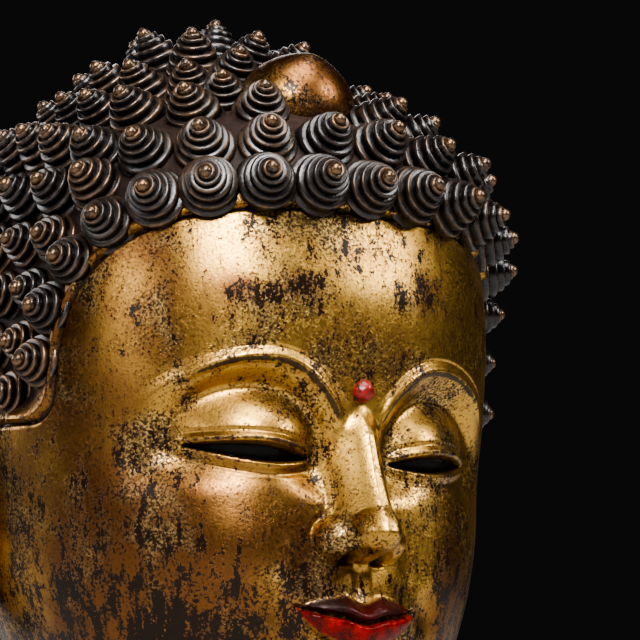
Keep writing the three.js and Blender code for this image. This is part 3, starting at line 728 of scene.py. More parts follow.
def swelling(side, height, middle, half, low, high):
    """Egg-shaped swelling that drops away outside its outline."""
    inside = 1 - ((side - middle[0]) / half[0]) ** 2 - ((height - middle[1]) / half[1]) ** 2
    within_it = low + (high - low) * np.sqrt(np.maximum(inside, 0))
    beyond = low - SWELLING_DROP * np.sqrt(np.clip(-inside, 0, SWELLING_LIMIT))
    return np.where(inside > 0, within_it, beyond)


def soft_masses(side, height):
    return sum(rise * hill(side, height, *place) for rise, *place in MASSES)


def eye_socket(side, height):
    below = -above(brow_line, side, height)
    band = ease(*SOCKET_TOP, below) * (1 - ease(*SOCKET_FOOT, below)) * (1 - ease(*SOCKET_OUT, side))
    return SOCKET_DEPTH * band * ease(*SOCKET_IN, side) * ease(*SOCKET_LEVEL, height)


def eye_run(side):
    """Share of a line along the lids, which fades at both corners of the eye."""
    start = ease(EYE_IN[0] - EYE_PAST, EYE_IN[0] + EYE_FADE, side)
    end = ease(EYE_OUT[0] - EYE_FADE, EYE_OUT[0] + EYE_PAST, side)
    return start * (1 - end)


def above_lids(side, height):
    return above(upper_lid, side, height), above(lower_lid, side, height)


def eye_slit(side, height):
    upper, lower = above_lids(side, height)
    return eye_run(side) * ease(*SLIT_EDGE, -upper) * ease(*SLIT_EDGE, lower)


def lid_rims(side, height):
    upper, lower = above_lids(side, height)
    return eye_run(side) * (bell(upper, *UPPER_RIM) + LOWER_RIM_SHARE * bell(lower, *LOWER_RIM))


def lid_folds(side, height):
    upper, lower = above_lids(side, height)
    folds = FOLD_DEPTH[0] * bell(upper, *UPPER_FOLD) + FOLD_DEPTH[1] * bell(lower, *LOWER_FOLD)
    return eye_run(side) * folds


def lid_ball(side, height):
    across = (side - LID_MIDDLE[0]) / LID_HALF[0]
    along = (height - LID_MIDDLE[1]) / LID_HALF[1]
    return LID_TOP - (across**2 + along**2)


def brow_band(side, height, end, line):
    """A line along the brow, which fades in beside the nose and out at its end."""
    run = ease(*BROW_START, side) * (1 - ease(*end, side))
    return run * bell(above(brow_line, side, height), *line)


def brow_crest(side, height):
    return brow_band(side, height, BROW_END, BROW_CREST)


def brow_edge_wear_and_shade(side, height):
    return brow_band(side, height, BROW_WEAR_AND_SHADE_END, BROW_WEAR_AND_SHADE)


def brow_groove(side, height):
    return brow_band(side, height, BROW_END, BROW_GROOVE)


def nose(side, height):
    down = np.clip((NOSE_TOP - height) / (NOSE_TOP - NOSE_TIP), 0, 1)
    under = np.clip((NOSE_TIP - height) / (NOSE_TIP - NOSE_FOOT), 0, 1)
    ridge = NOSE_RISE * down**RIDGE_CURVE * (1 - under ** UNDER_CURVE[0]) ** UNDER_CURVE[1]
    half_top = RIDGE_HALF + RIDGE_GAIN * down**2
    half_foot = FOOT_HALF + FOOT_GAIN * down**FOOT_CURVE
    out = np.clip((side - half_top) / (half_foot - half_top), 0, 1)
    wall = (1 - out) * (1 + WALL_BULGE * out)
    beyond = np.clip((side - half_foot) / WALL_REACH, 0, 1)
    bridge = (ridge + WALL_SUNK) * wall - WALL_SUNK - WALL_DROP * beyond
    tip = swelling(side, height, TIP_MIDDLE, TIP_HALF, *TIP_RISE)
    wing = swelling(side, height, WING_MIDDLE, WING_HALF, *WING_RISE)
    whole = soft_max(soft_max(bridge, tip, TIP_BLEND), wing, WING_BLEND)
    return whole - ROOT_DROP * ease(ROOT_FADE, NOSE_TOP, height)


def wing_groove(side, height):
    """Line round the upper edge of the wing of the nose."""
    out = np.hypot((side - WING_MIDDLE[0]) / WING_HALF[0], (height - WING_MIDDLE[1]) / WING_HALF[1])
    return bell(out, *WING_LINE) * ease(*WING_LINE_LEVEL, height) * ease(*WING_LINE_SIDE, side)


def nostril(side, height):
    return bell(side, *NOSTRIL_SIDE) * bell(height, *NOSTRIL_LEVEL)


def lip_furrow(side, height):
    """Shallow furrow from the foot of the nose to the upper lip."""
    return bell(side, 0, FURROW_HALF) * ease(*FURROW_FOOT, height) * (1 - ease(*FURROW_TOP, height))


def lip_spans(side, height):
    """How far up the upper lip and down the lower lip a point lies, as shares of their thickness."""
    rise = height - mouth_line(side)
    share = lip_share(side)
    upper = UPPER_LIP * share**UPPER_LIP_CURVE - NOTCH_DEPTH * bell(side, 0, NOTCH_HALF)
    lower = LOWER_LIP * share**LOWER_LIP_CURVE
    return rise / np.maximum(upper, SMALL), -rise / np.maximum(lower, SMALL)


def lips(side, height):
    share = lip_share(side)
    up, down = lip_spans(side, height)
    upper = UPPER_LIP_RISE * share**LIP_FULLNESS * (1 - ease(*UPPER_LIP_FALL, up))
    middle, half = LOWER_LIP_ROUND
    bow = np.clip(1 - ((down - middle) / half) ** 2, 0, 1) ** LIP_FULLNESS
    lower = LOWER_LIP_RISE * share**LOWER_LIP_CURVE * bow
    parting = bell(height - mouth_line(side), 0, PARTING_HALF) * (1 - ease(*PARTING_END, side))
    return np.where(share > 0, np.where(up >= 0, upper, lower), 0) - PARTING_DEPTH * parting


def face_rise(side, height):
    side = np.abs(side)
    rise = soft_max(soft_masses(side, height) - eye_socket(side, height), lid_ball(side, height), LID_BLEND)
    rise += RIM_RISE * lid_rims(side, height) - SLIT_DEPTH * eye_slit(side, height) - lid_folds(side, height)
    rise += CREST_RISE * brow_crest(side, height) - GROOVE_DEPTH * brow_groove(side, height)
    rise = soft_max(rise, nose(side, height), NOSE_BLEND)
    rise -= NOSTRIL_DEPTH * nostril(side, height) + WING_LINE_DEPTH * wing_groove(side, height)
    rise -= FURROW_DEPTH * lip_furrow(side, height)
    return rise + lips(side, height)


# Hair's edge, and how far inside it a point lies


def arch_slope(across, along):
    steep = ARCH_POWER - 1
    return np.hypot(across**steep / (HAIR_HALF * HEAD_RADIUS), along**steep / (HAIR_TOP - HAIR_BASE))


def arch_depth(angle, height):
    across = np.abs(angle) / HAIR_HALF
    along = np.maximum(height - HAIR_BASE, 0) / (HAIR_TOP - HAIR_BASE)
    size = np.maximum((across**ARCH_POWER + along**ARCH_POWER) ** (1 / ARCH_POWER), TINY)
    return (size - 1) / np.maximum(arch_slope(across / size, along / size), TINY)


def lower_edge(angle):
    return HAIR_SIDE - (HAIR_SIDE - HAIR_NAPE) * ease(*NAPE_TURN, np.abs(angle))


def lower_depth(angle, height):
    step = 0.01
    slope = (lower_edge(angle + step) - lower_edge(angle - step)) / (2 * step * HEAD_RADIUS)
    return (height - lower_edge(angle)) / np.sqrt(1 + slope**2)


def hair_depth(angle, height):
    return -soft_max(-arch_depth(angle, height), -lower_depth(angle, height), HAIR_ROUND)


def temple(angle, height):
    """Share of the hollow at the temples, which keeps the curls behind the line of the cheek."""
    fading = 1 - ease(*TEMPLE_HEIGHT, height)
    return bell(np.abs(angle), *TEMPLE_TURN) * fading * ease(*TEMPLE_EDGE, hair_depth(angle, height))


def formed(angle, way):
    """Points of the whole skin and hair cap."""
    side, forward, height = bare(angle, way)
    creases = sum(bell(height, level, CREASE_REACH) for level in CREASES)
    pinch = 1 - CREASE_DEPTH * creases * ease(*CREASE_START, way) / CUT_RADIUS
    side = side * pinch
    forward = forward * pinch
    forward = forward + ease(*FEATURE_FRONT, forward) * ease(*FEATURE_START, way) * face_rise(side, height)
    depth = hair_depth(angle, height)
    step = CAP * ease(*CAP_EDGE, depth) - HAIRLINE_GROOVE * bell(depth, *HAIRLINE)
    step = step - TEMPLE_DIP * temple(angle, height)
    return points(side, forward, height) + outward(angle, way) * step[..., None]


# Modelling helpers


def start_piece(name, add, **sizes):
    """A new primitive, with everything else let go."""
    bpy.ops.object.select_all(action="DESELECT")
    add(**sizes)
    piece = bpy.context.object
    piece.name = name
    piece.data.name = name
    return piece


def corners(piece):
    flat = np.empty(len(piece.data.vertices) * 3)
    piece.data.vertices.foreach_get("co", flat)
    return flat.reshape(-1, 3)


def set_corners(piece, spots):
    piece.data.vertices.foreach_set("co", np.asarray(spots, dtype=np.float32).ravel())
    piece.data.update()


def to_metres(spots):
    return (spots - np.array([0, 0, CUT])) * FINGER


def paint(piece, **layers):
    """Numbers kept on the corners, for the finish to read."""
    for name, values in layers.items():
        layer = piece.data.attributes.new(name, "FLOAT", "POINT")
        layer.data.foreach_set("value", np.asarray(values, dtype=np.float32))


def edit(piece):
    bpy.context.view_layer.objects.active = piece
    bpy.ops.object.mode_set(mode="EDIT")
    bpy.ops.mesh.select_mode(type="VERT")
    bpy.ops.mesh.select_all(action="SELECT")


def leave_edit():
    bpy.ops.object.mode_set(mode="OBJECT")


def select_within(piece, chosen):
    """Select the chosen corners with the edges and faces between them, and stay in edit mode."""
    edit(piece)
    bpy.ops.mesh.select_all(action="DESELECT")
    leave_edit()
    mesh = piece.data
    ends = np.empty(len(mesh.edges) * 2, dtype=np.int32)
    mesh.edges.foreach_get("vertices", ends)
    mesh.vertices.foreach_set("select", chosen)
    mesh.edges.foreach_set("select", chosen[ends].reshape(-1, 2).all(axis=1))
    mesh.polygons.foreach_set("select", [bool(chosen[list(face.vertices)].all()) for face in mesh.polygons])
    bpy.ops.object.mode_set(mode="EDIT")


def refine(piece, near):
    """Halve the faces of the ball wherever the test on the form holds."""
    angle, way = from_ball(corners(piece))
    side, forward, height = bare(angle, way)
    select_within(piece, near(np.abs(side), forward, height, hair_depth(angle, height)))
    bpy.ops.mesh.subdivide(number_cuts=1)
    bpy.ops.mesh.quads_convert_to_tris()
    leave_edit()


def shade(piece, angle=SHARP):
    bpy.ops.object.select_all(action="DESELECT")
    piece.select_set(True)
    bpy.context.view_layer.objects.active = piece
    bpy.ops.object.shade_smooth_by_angle(angle=math.radians(angle))


def hand_over(piece, node, finish):
    """Let the finished piece stand for its solid."""
    piece.data.materials.clear()
    piece.data.materials.append(finish)
    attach(piece, "root")
    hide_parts(node)


# Pieces of the head


def within(side, height, box):
    (inner, outer), (low, high) = box
    return (side >= inner) & (side < outer) & (height > low) & (height < high)


def near_skin(side, forward, height, depth):
    return depth < SKIN_DEPTH


def near_face(side, forward, height, depth):
    return (forward > FACE_FORWARD) & (height > FACE_FOOT) & (depth < FACE_DEPTH)


def near_middle(side, forward, height, depth):
    return (forward > FINE_FORWARD) & within(side, height, MIDDLE_BOX)


def near_features(side, forward, height, depth):
    features = within(side, above(brow_line, side, height), BROW_BOX)
    for box in (EYE_BOX, NOSE_BOX, MOUTH_BOX):
        features = features | within(side, height, box)
    return (forward > FINE_FORWARD) & features


def near_hairline(side, forward, height, depth):
    return np.abs(depth) < HAIRLINE_REACH


def wear_and_shade_at(side, height):
    """How much more than elsewhere the gilding is rubbed away, and on the lower face darkened as painted
    shade.
    """
    spots = (much * hill(side, height, middle, wide, level, tall) for middle, level, wide, tall, much in WEAR_AND_SHADE)
    return sum(spots)


def paint_skin(piece, angle, way):
    """Mark on the corners the hair, the worn places with the painted shade of the lower face, the lips, the
    black eyes with the nostrils' painted shade, and the rubbed edges with painted shade under the brows.
    """
    across, forward, height = bare(angle, way)
    side = np.abs(across)
    front = ease(*PAINT_FRONT, forward)
    up, down = lip_spans(side, height)
    mouth = front * (lip_share(side) > 0)
    along_nose = ease(*RIDGE_FOOT, height) * (1 - ease(*RIDGE_TOP, height))
    nose_ridge = RIDGE_WEAR * bell(side, *RIDGE_LINE) * along_nose
    # Dark edges: lid rims and nose ridge rubbed, and under the brow rubbing with painted shade
    edges = brow_edge_wear_and_shade(side, height) + LID_WEAR * lid_rims(side, height) + nose_ridge
    paint(
        piece,
        hair=hair_depth(angle, height),
        # worn holds real wear and the painted shade of the lower face
        worn=wear_and_shade_at(across, height),
        upper_lip=mouth * ease(*LIP_PARTING, up) * (1 - ease(*UPPER_LIP_EDGE, up)),
        lower_lip=mouth * ease(*LIP_PARTING, down) * (1 - ease(*LOWER_LIP_EDGE, down)),
        # Black eyes, and the nostrils painted black as painted shade in their hollows
        slit=front * np.clip(eye_slit(side, height) + nostril(side, height), 0, 1),
        ridge=front * np.clip(edges, 0, 1),
    )


def head_casting(finish):
    ball = {"subdivisions": SKIN_FINENESS, "radius": 1}
    piece = start_piece("head_casting", bpy.ops.mesh.primitive_ico_sphere_add, **ball)
    set_corners(piece, corners(piece) / np.linalg.norm(corners(piece), axis=1, keepdims=True))
    edit(piece)
    rim = (0, 0, math.sin(LATITUDES[0]))
    bpy.ops.mesh.bisect(plane_co=rim, plane_no=(0, 0, 1), use_fill=True, clear_inner=True)
    leave_edit()
    for near in (near_skin, near_face, near_middle, near_hairline, near_hairline, near_features):
        refine(piece, near)
    angle, way = from_ball(corners(piece))
    paint_skin(piece, angle, way)
    set_corners(piece, to_metres(formed(angle, way)))
    shade(piece)
    hand_over(piece, "head", finish)


def start_ball(name, rings):
    segments, ring_count = rings
    sizes = {"segments": segments, "ring_count": ring_count, "radius": 1}
    return start_piece(name, bpy.ops.mesh.primitive_uv_sphere_add, **sizes)


def ear_outline(turn):
    tall = EAR_HALF * np.cos(turn)
    width = (EAR_LOBE + (1 - EAR_LOBE) * ease(*EAR_WIDENS, tall)) * EAR_WIDE
    drift = EAR_DRIFT * ease(EAR_DRIFT_START, EAR_HALF, -tall)
    return width * np.sign(np.sin(turn)) * np.abs(np.sin(turn)) ** EAR_ROUND - drift, tall


def ear_relief(share, turn):
    upper = ease(*EAR_UPPER, np.cos(turn))
    rim = EAR_RIM_RISE * bell(share, *EAR_RIM) * (EAR_RIM_LOBE + (1 - EAR_RIM_LOBE) * upper)
    fold = EAR_FOLD_RISE * bell(share, *EAR_FOLD) * upper * ease(*EAR_FOLD_REAR, np.sin(turn))
    deep = EAR_HOLLOW_LOBE + (1 - EAR_HOLLOW_LOBE) * upper
    hollow = EAR_HOLLOW_DEPTH * (1 - ease(*EAR_HOLLOW, share)) * deep
    return EAR_LEVEL + rim + fold - hollow


def ear(name, hand, finish):
    piece = start_ball(name, EAR_RINGS)
    ball = corners(piece)
    turn = np.arctan2(ball[:, 0], ball[:, 1])
    share = np.sqrt(np.clip(1 - ball[:, 2] ** 2, 0, 1)) ** EAR_SPREAD
    edge = np.sqrt(np.clip(1 - share**EAR_EDGE, 0, 1))
    across, along = ear_outline(turn)
    out = np.where(ball[:, 2] >= 0, ear_relief(share, turn) * edge, -EAR_THICKNESS * edge)
    rearward = (across - EAR_BACK * along) * share
    lift = out + EAR_TUCK * np.minimum(along, 0) * share
    side = EAR_OUT + rearward * math.sin(EAR_TURN) + lift * math.cos(EAR_TURN)
    forward = EAR_FORWARD - rearward * math.cos(EAR_TURN) + lift * math.sin(EAR_TURN)
    set_corners(piece, to_metres(points(hand * side, forward, EAR_HEIGHT + along * share)))
    edit(piece)
    bpy.ops.mesh.normals_make_consistent(inside=False)
    leave_edit()
    shade(piece)
    hand_over(piece, "head", finish)


def hair_jewel(finish):
    piece = start_ball("hair_jewel", JEWEL_RINGS)
    ball = corners(piece)
    fuller = 1 + JEWEL_FULLNESS * np.cos(JEWEL_WAVES * np.arcsin(ball[:, 2:3]))
    shaped = ball * fuller * np.array(JEWEL_HALF)
    cos = math.cos(JEWEL_LEAN)
    sin = math.sin(JEWEL_LEAN)
    forward = JEWEL_FORWARD - shaped[:, 1] * cos + shaped[:, 2] * sin
    height = JEWEL_HEIGHT + shaped[:, 2] * cos + shaped[:, 1] * sin
    set_corners(piece, to_metres(points(shaped[:, 0], forward, height)))
    shade(piece)
    hand_over(piece, "head", finish)


def urna(finish):
    ball = {"subdivisions": STONE_FINENESS, "radius": STONE_RADIUS}
    piece = start_piece("urna_stone", bpy.ops.mesh.primitive_ico_sphere_add, **ball)
    spots = corners(piece)
    nick = np.sin(spots * NICK_RATE + np.array(NICK_SHIFTS)).prod(axis=1, keepdims=True)
    spots = spots * (1 + NICK_DEPTH * nick)
    middle = np.zeros(1)
    seat = formed(middle, way_at(middle, middle + STONE_HEIGHT))[0]
    seat = seat + np.array([0, STONE_RADIUS * STONE_SUNK - STONE_PROUD, 0])
    set_corners(piece, to_metres(spots + seat))
    shade(piece, STONE_SHARP)
    hand_over(piece, "urna", finish)


# Curls


def first_row(hand):
    """Angles and ways along the arch, from the middle of the forehead down one temple."""
    turn = np.linspace(0, math.pi / 2, ROW_STEPS)
    across = np.sin(turn) ** (2 / ARCH_POWER)
    along = np.maximum(np.cos(turn), 0) ** (2 / ARCH_POWER)
    size = 1 + EDGE_MARGIN * arch_slope(across, along)
    angle = hand * HAIR_HALF * across * size
    height = HAIR_BASE + (HAIR_TOP - HAIR_BASE) * along * size
    kept = height > HAIR_SIDE + EDGE_MARGIN
    angle = angle[kept]
    way = way_at(angle, height[kept])
    strides = np.linalg.norm(np.diff(points(*bare(angle, way)), axis=0), axis=1)
    run = np.append(0, np.cumsum(strides))
    marks = np.arange(FIRST_SHIFT if hand > 0 else FIRST_STEP - FIRST_SHIFT, run[-1], FIRST_STEP)
    return np.stack([np.interp(marks, run, angle), np.interp(marks, run, way)], axis=1)


def upper_rows(start):
    """Full rings above the first row, staggered, up to the curl on the crown."""
    rows = math.floor((CROWN - start) / ROW_STEP)
    found = []
    for row in range(1, rows + 1):
        way = start + (CROWN - start) * (row / rows) ** ROW_CROWDING
        count = max(round(2 * math.pi * float(ring_radius(way)) / UPPER_STEP), 1)
        angle = ((np.arange(count) + (row % 2) / 2) / count * 2 + 1) % 2 * math.pi - math.pi
        sag = ROW_SAG * max(1 - (row - 1) / SAG_ROWS, 0) * bell(np.abs(angle), *SAG_TURN)
        found.append(np.stack([angle, way - sag], axis=1))
    return np.concatenate(found)


def row_margin(angle, way):
    """How far inside the hair's edge a place at the sides or back lies, less the room that a curl needs."""
    height = bare(angle, way)[2]
    return np.minimum(arch_depth(angle, height) - SECOND_MARGIN, lower_depth(angle, height) - EDGE_MARGIN)


def lower_rows(start):
    """Rows at the sides and back, from edge to edge of the hair."""
    found = []
    for way in np.arange(start, KNOTS[CHIN_STATION], -ROW_STEP):
        if row_margin(math.pi, way) < 0:
            break
        edge = float(solve(lambda angle: row_margin(angle, way), 0.0, math.pi))
        span = 2 * (math.pi - edge)
        count = max(round(float(ring_radius(way)) * span / LOWER_STEP), 1)
        turns = edge + np.arange(count + 1) / count * span
        found += [((turn + math.pi) % (2 * math.pi) - math.pi, way) for turn in turns]
    return np.array(found)


def clear_of_others(places):
    """Leave out the places under the jewel and behind the ears."""
    side, forward, height = bare(places[:, 0], places[:, 1])
    jewel = np.sqrt(side**2 + (forward - JEWEL_FORWARD) ** 2 + (height - JEWEL_HEIGHT) ** 2) < JEWEL_CLEAR
    across = (forward - EAR_FORWARD) / (EAR_WIDE + EAR_MARGIN)
    along = (height - EAR_HEIGHT) / (EAR_HALF + EAR_MARGIN)
    return places[~jewel & (across**2 + along**2 >= 1)]


def gaps(taken):
    """Places for more curls where the rows leave bare scalp, widest gap first."""
    turns = np.linspace(-math.pi, math.pi, GAP_TURNS, endpoint=False)
    turn, way = np.meshgrid(turns, np.arange(KNOTS[CHIN_STATION], CROWN, GAP_STEP))
    places = np.stack([turn.ravel(), way.ravel()], axis=1)
    places = clear_of_others(places[hair_depth(places[:, 0], bare(*places.T)[2]) > EDGE_MARGIN])
    spots = points(*bare(*places.T))
    jewel = np.linalg.norm(spots - points(0, JEWEL_FORWARD, JEWEL_HEIGHT), axis=1)
    places = places[jewel > JEWEL_FREE]
    spots = spots[jewel > JEWEL_FREE]
    free = np.min([np.linalg.norm(spots - spot, axis=1) for spot in points(*bare(*taken.T))], axis=0)
    found = []
    while free.max() > GAP:
        widest = int(free.argmax())
        found.append(places[widest])
        free = np.minimum(free, np.linalg.norm(spots - spots[widest], axis=1))
    return np.array(found)


def curl_axes(angle, way):
    """Directions in which curls stand: out from the scalp, but leaning down over the forehead."""
    normal = outward(angle, way)
    flat = np.hypot(normal[:, 0], normal[:, 1])
    least = LEAN_LEAST + LEAN_GAIN * np.maximum(bare(angle, way)[2] - LEAN_HEIGHT, 0)
    most = math.pi / 2 + (least - math.pi / 2) * ease(*LEAN_CROWN, ring_radius(way))
    rise = np.minimum(np.arctan2(normal[:, 2], flat), most)
    level = np.cos(rise) / flat
    return np.stack([normal[:, 0] * level, normal[:, 1] * level, np.sin(rise)], axis=1)


def whorl_profile(way, lift):
    """Radius and height of the wound cone at a way up its turns, with the whorls' lift off its flank."""
    climb = np.clip((way - 1) / (CURL_TURNS - 1), 0, 1)
    radius = CURL_RADIUS * (1 - climb) ** CURL_TAPER
    height = CURL_HEIGHT * (1 - (radius / CURL_RADIUS) ** 2) - CURL_FOOT * np.clip(1 - way, 0, 1)
    steepness = 2 * CURL_HEIGHT * radius / CURL_RADIUS**2
    lean = np.sqrt(1 + steepness**2)
    swell = lift * (1 - ease(*WHORL_END, climb)) * ease(*WHORL_START, way)
    return radius + swell * steepness / lean, height + swell / lean


def curl_pattern():
    """One curl on its foot, wound from a flat strip into a ridged cone with a knob on its tip."""
    cells = round(CURL_STEPS * CURL_TURNS)
    rows = len(WHORL) - 1
    strip = {"x_subdivisions": cells, "y_subdivisions": rows, "size": 1}
    piece = start_piece("curl", bpy.ops.mesh.primitive_grid_add, **strip)
    spots = corners(piece)
    turn = np.round((spots[:, 0] + 0.5) * cells) / CURL_STEPS
    row = np.round((spots[:, 1] + 0.5) * rows).astype(int)
    share, lift, crest = np.array(WHORL)[row].T
    way = np.minimum(turn + share, CURL_TURNS)
    radius, height = whorl_profile(way, lift)
    spin = -2 * math.pi * turn
    set_corners(piece, np.stack([radius * np.cos(spin), radius * np.sin(spin), height], axis=1))
    paint(piece, crest=crest * ease(*CREST_START, way))
    edit(piece)
    bpy.ops.mesh.remove_doubles(threshold=MERGE)
    bpy.ops.mesh.fill_holes(sides=0)
    knob = {"subdivisions": KNOB_FINENESS, "radius": CURL_KNOB, "location": (0, 0, CURL_HEIGHT - KNOB_SUNK)}
    bpy.ops.mesh.primitive_ico_sphere_add(**knob)
    bpy.ops.mesh.select_all(action="SELECT")
    bpy.ops.mesh.normals_make_consistent(inside=False)
    leave_edit()
    low, high = TIP_PAINT
    paint(piece, tip=ease(CURL_HEIGHT - low, CURL_HEIGHT - high, corners(piece)[:, 2]))
    shade(piece, CURL_SHARP)
    return piece


def stand(foot, axis, size, spin):
    """Matrix that sets a curl on its foot along its axis, turned and sized."""
    turned = Vector(axis).to_track_quat("Z", "Y").to_matrix().to_4x4() @ Matrix.Rotation(spin, 4, "Z")
    return Matrix.Translation(to_metres(foot)) @ turned @ Matrix.Scale(FINGER * size, 4)


def curls(name, places, pattern, finish):
    """Copies of the pattern at their places, each with a turn and size of its own."""
    angle, way = places.T
    sunk = (TEMPLE_DIP + TEMPLE_SINK) * temple(angle, bare(angle, way)[2])
    feet = points(*bare(angle, way)) + outward(angle, way) * (CAP - sunk)[:, None]
    axes = curl_axes(angle, way)
    sizes = 1 + chance.uniform(-CURL_VARIES, CURL_VARIES, len(places))
    spins = chance.uniform(0, 2 * math.pi, len(places))
    warmth = np.clip(chance.uniform(*WARM_CHANCE, len(places)) + ease(*WARM_BELOW, feet[:, 2]), 0, 1)
    copies = []
    for foot, axis, size, spin, warm in zip(feet, axes, sizes, spins, warmth):
        copy = bpy.data.objects.new(name, pattern.data.copy())
        bpy.context.scene.collection.objects.link(copy)
        copy.data.transform(stand(foot, axis, size, spin))
        paint(copy, warm=np.full(len(copy.data.vertices), warm))
        copies.append(copy)
    bpy.ops.object.select_all(action="DESELECT")
    for copy in copies:
        copy.select_set(True)
    bpy.context.view_layer.objects.active = copies[0]
    bpy.ops.object.join()
    piece = bpy.context.object
    piece.name = name
    piece.data.name = name
    hand_over(piece, "head", finish)


def all_curls(finish):
    pattern = curl_pattern()
    row = first_row(1)
    start = row[0, 1]
    brow = clear_of_others(np.concatenate([row, first_row(-1)]))
    crown = clear_of_others(upper_rows(start))
    back = clear_of_others(lower_rows(start))
    more = gaps(np.concatenate([brow, crown, back]))
    curls("curls_brow", np.concatenate([brow, more]), pattern, finish)
    curls("curls_crown", crown, pattern, finish)
    curls("curls_back", back, pattern, finish)
    bpy.data.objects.remove(pattern)


# Finishes


class Wire:
    """A value, colour or vector on its way through the nodes of a finish."""

    def __init__(self, finish, socket):
        self.finish = finish
        self.socket = socket

    def math(self, operation, first, second):
        return self.finish.node("ShaderNodeMath", {"operation": operation}, {0: first, 1: second})

    def __add__(self, other):
        return self.math("ADD", self, other)

    def __radd__(self, other):
        return self.math("ADD", other, self)

    def __sub__(self, other):
        return self.math("SUBTRACT", self, other)

    def __rsub__(self, other):
        return self.math("SUBTRACT", other, self)

    def __mul__(self, other):
        return self.math("MULTIPLY", self, other)

    def __rmul__(self, other):
        return self.math("MULTIPLY", other, self)

    def __or__(self, other):
        return self.math("MAXIMUM", self, other)


class Finish:
    """A material, with short ways to add its nodes."""

    def __init__(self, name):
        self.material = bpy.data.materials.new(name)
        self.material.use_nodes = True
        self.tree = self.material.node_tree
        self.shader = self.tree.nodes["Principled BSDF"]

    def node(self, kind, settings, values, out=0):
        made = self.tree.nodes.new(kind)
        for name, value in settings.items():
            setattr(made, name, value)
        for socket, value in values.items():
            self.feed(made.inputs[socket], value)
        return Wire(self, made.outputs[out])

    def feed(self, socket, value):
        if isinstance(value, Wire):
            self.tree.links.new(value.socket, socket)
        else:
            socket.default_value = value

    def surface(self, **values):
        for name, value in values.items():
            self.feed(self.shader.inputs[name.replace("_", " ")], value)

    def place(self, stretch):
        spot = self.node("ShaderNodeTexCoord", {}, {}, "Object")
        return self.node("ShaderNodeMapping", {}, {"Vector": spot, "Scale": stretch})

    def noise(self, size, detail, roughness, shift, stretch=(1, 1, 1)):
        """Cloudy values about a half, with features of the given size in metres."""
        values = {"Vector": self.place(stretch), "W": shift, "Scale": 1 / size, "Detail": detail}
        values["Roughness"] = roughness
        return self.node("ShaderNodeTexNoise", {"noise_dimensions": "4D"}, values)

    def painted(self, name):
        return self.node("ShaderNodeAttribute", {"attribute_name": name}, {}, "Fac")

    def step(self, value, low, high):
        """Smooth rise from nought to one as the value goes from low to high."""
        values = {"Value": value, "From Min": low, "From Max": high}
        return self.node("ShaderNodeMapRange", {"interpolation_type": "SMOOTHSTEP"}, values)

    def mix(self, share, first, second):
        return self.node("ShaderNodeMix", {"data_type": "RGBA"}, {0: share, 6: first, 7: second}, 2)

    def bump(self, height, distance, strength):
        values = {"Height": height, "Distance": distance, "Strength": strength}
        return self.node("ShaderNodeBump", {}, values)


class Gilding(Finish):
    """Gold leaf on black lacquer, worn through in specks, streaks and patches."""

    def __init__(self, name, rubbed_off, browned=0.0):
        super().__init__(name)
        self.clouds = self.noise(*CLOUD)
        self.patches = self.noise(*PATCH)
        self.specks = self.noise(*SPECK, SPECK_STRETCH)
        self.streaks = self.noise(*STREAK, STREAK_STRETCH)
        self.grains = self.noise(*GRAIN)
        fine = SPECK_WEAR * self.specks + STREAK_WEAR * self.streaks + GRAIN_WEAR * (self.grains - 0.5)
        self.wear = fine + PATCH_WEAR * (self.patches - 0.5) + rubbed_off
        self.browned = browned

    def add_wear_and_shade(self, worn):
        """Rub the leaf thinner and browner where the mask of wear and painted shade says so."""
        self.wear = self.wear + PLACE_WEAR_AND_SHADE * worn
        self.browned = self.browned + PLACE_BROWN_AND_SHADE * worn

    def bare_lacquer(self):
        """Where lacquer shows: worn through, and along fine cracks."""
        crackle = self.noise(*CRACKLE) - 0.5
        cracks = (1 - self.step(crackle * crackle, *CRACK_HALF)) * self.step(self.patches, *CRACK_PATCH)
        return self.step(self.wear, *WORN_THROUGH) | cracks * CRACK_DARK

    def color(self, dark):
        """Gold with brown clouds, pale patches, brown thin places and dark pepper, over the lacquer."""
        tone = self.mix(self.step(self.clouds + self.browned, *BROWN_CLOUD), GOLD, BROWN_GOLD)
        tone = self.mix(self.step(self.patches, *PALE_PATCH) * PALE_SHARE, tone, PALE_GOLD)
        tone = self.mix(self.step(self.wear, *THIN) * THIN_SHARE, tone, BROWN_GOLD)
        pepper = self.step(self.grains + PEPPER_PATCH * (self.patches - 0.5), *PEPPER)
        tone = self.mix(pepper * PEPPER_SHARE, tone, BROWN_LACQUER)
        return self.mix(dark, tone, self.mix(self.grains, LACQUER, BROWN_LACQUER))

    def roughness(self, dark):
        return (LEAF_ROUGH + GRAIN_ROUGH * (self.grains - 0.5)) * (1 - dark) + LACQUER_ROUGH * dark

    def lay(self, dark, color, metal, rough):
        height = (1 - dark) + GRAIN_RELIEF * self.grains + SPECK_RELIEF * self.specks
        self.surface(
            Base_Color=color,
            Metallic=metal,
            Roughness=rough,
            Normal=self.bump(height, *LEAF_BUMP),
            Specular_IOR_Level=LEAF_GLOSS,
            Coat_Weight=LEAF_COAT,
            Coat_Roughness=LEAF_COAT_ROUGH,
        )
        return self.material


def plain_gilding(name, rubbed_off, browned=0.0):
    leaf = Gilding(name, rubbed_off, browned)
    dark = leaf.bare_lacquer()
    return leaf.lay(dark, leaf.color(dark), 1 - dark, leaf.roughness(dark))


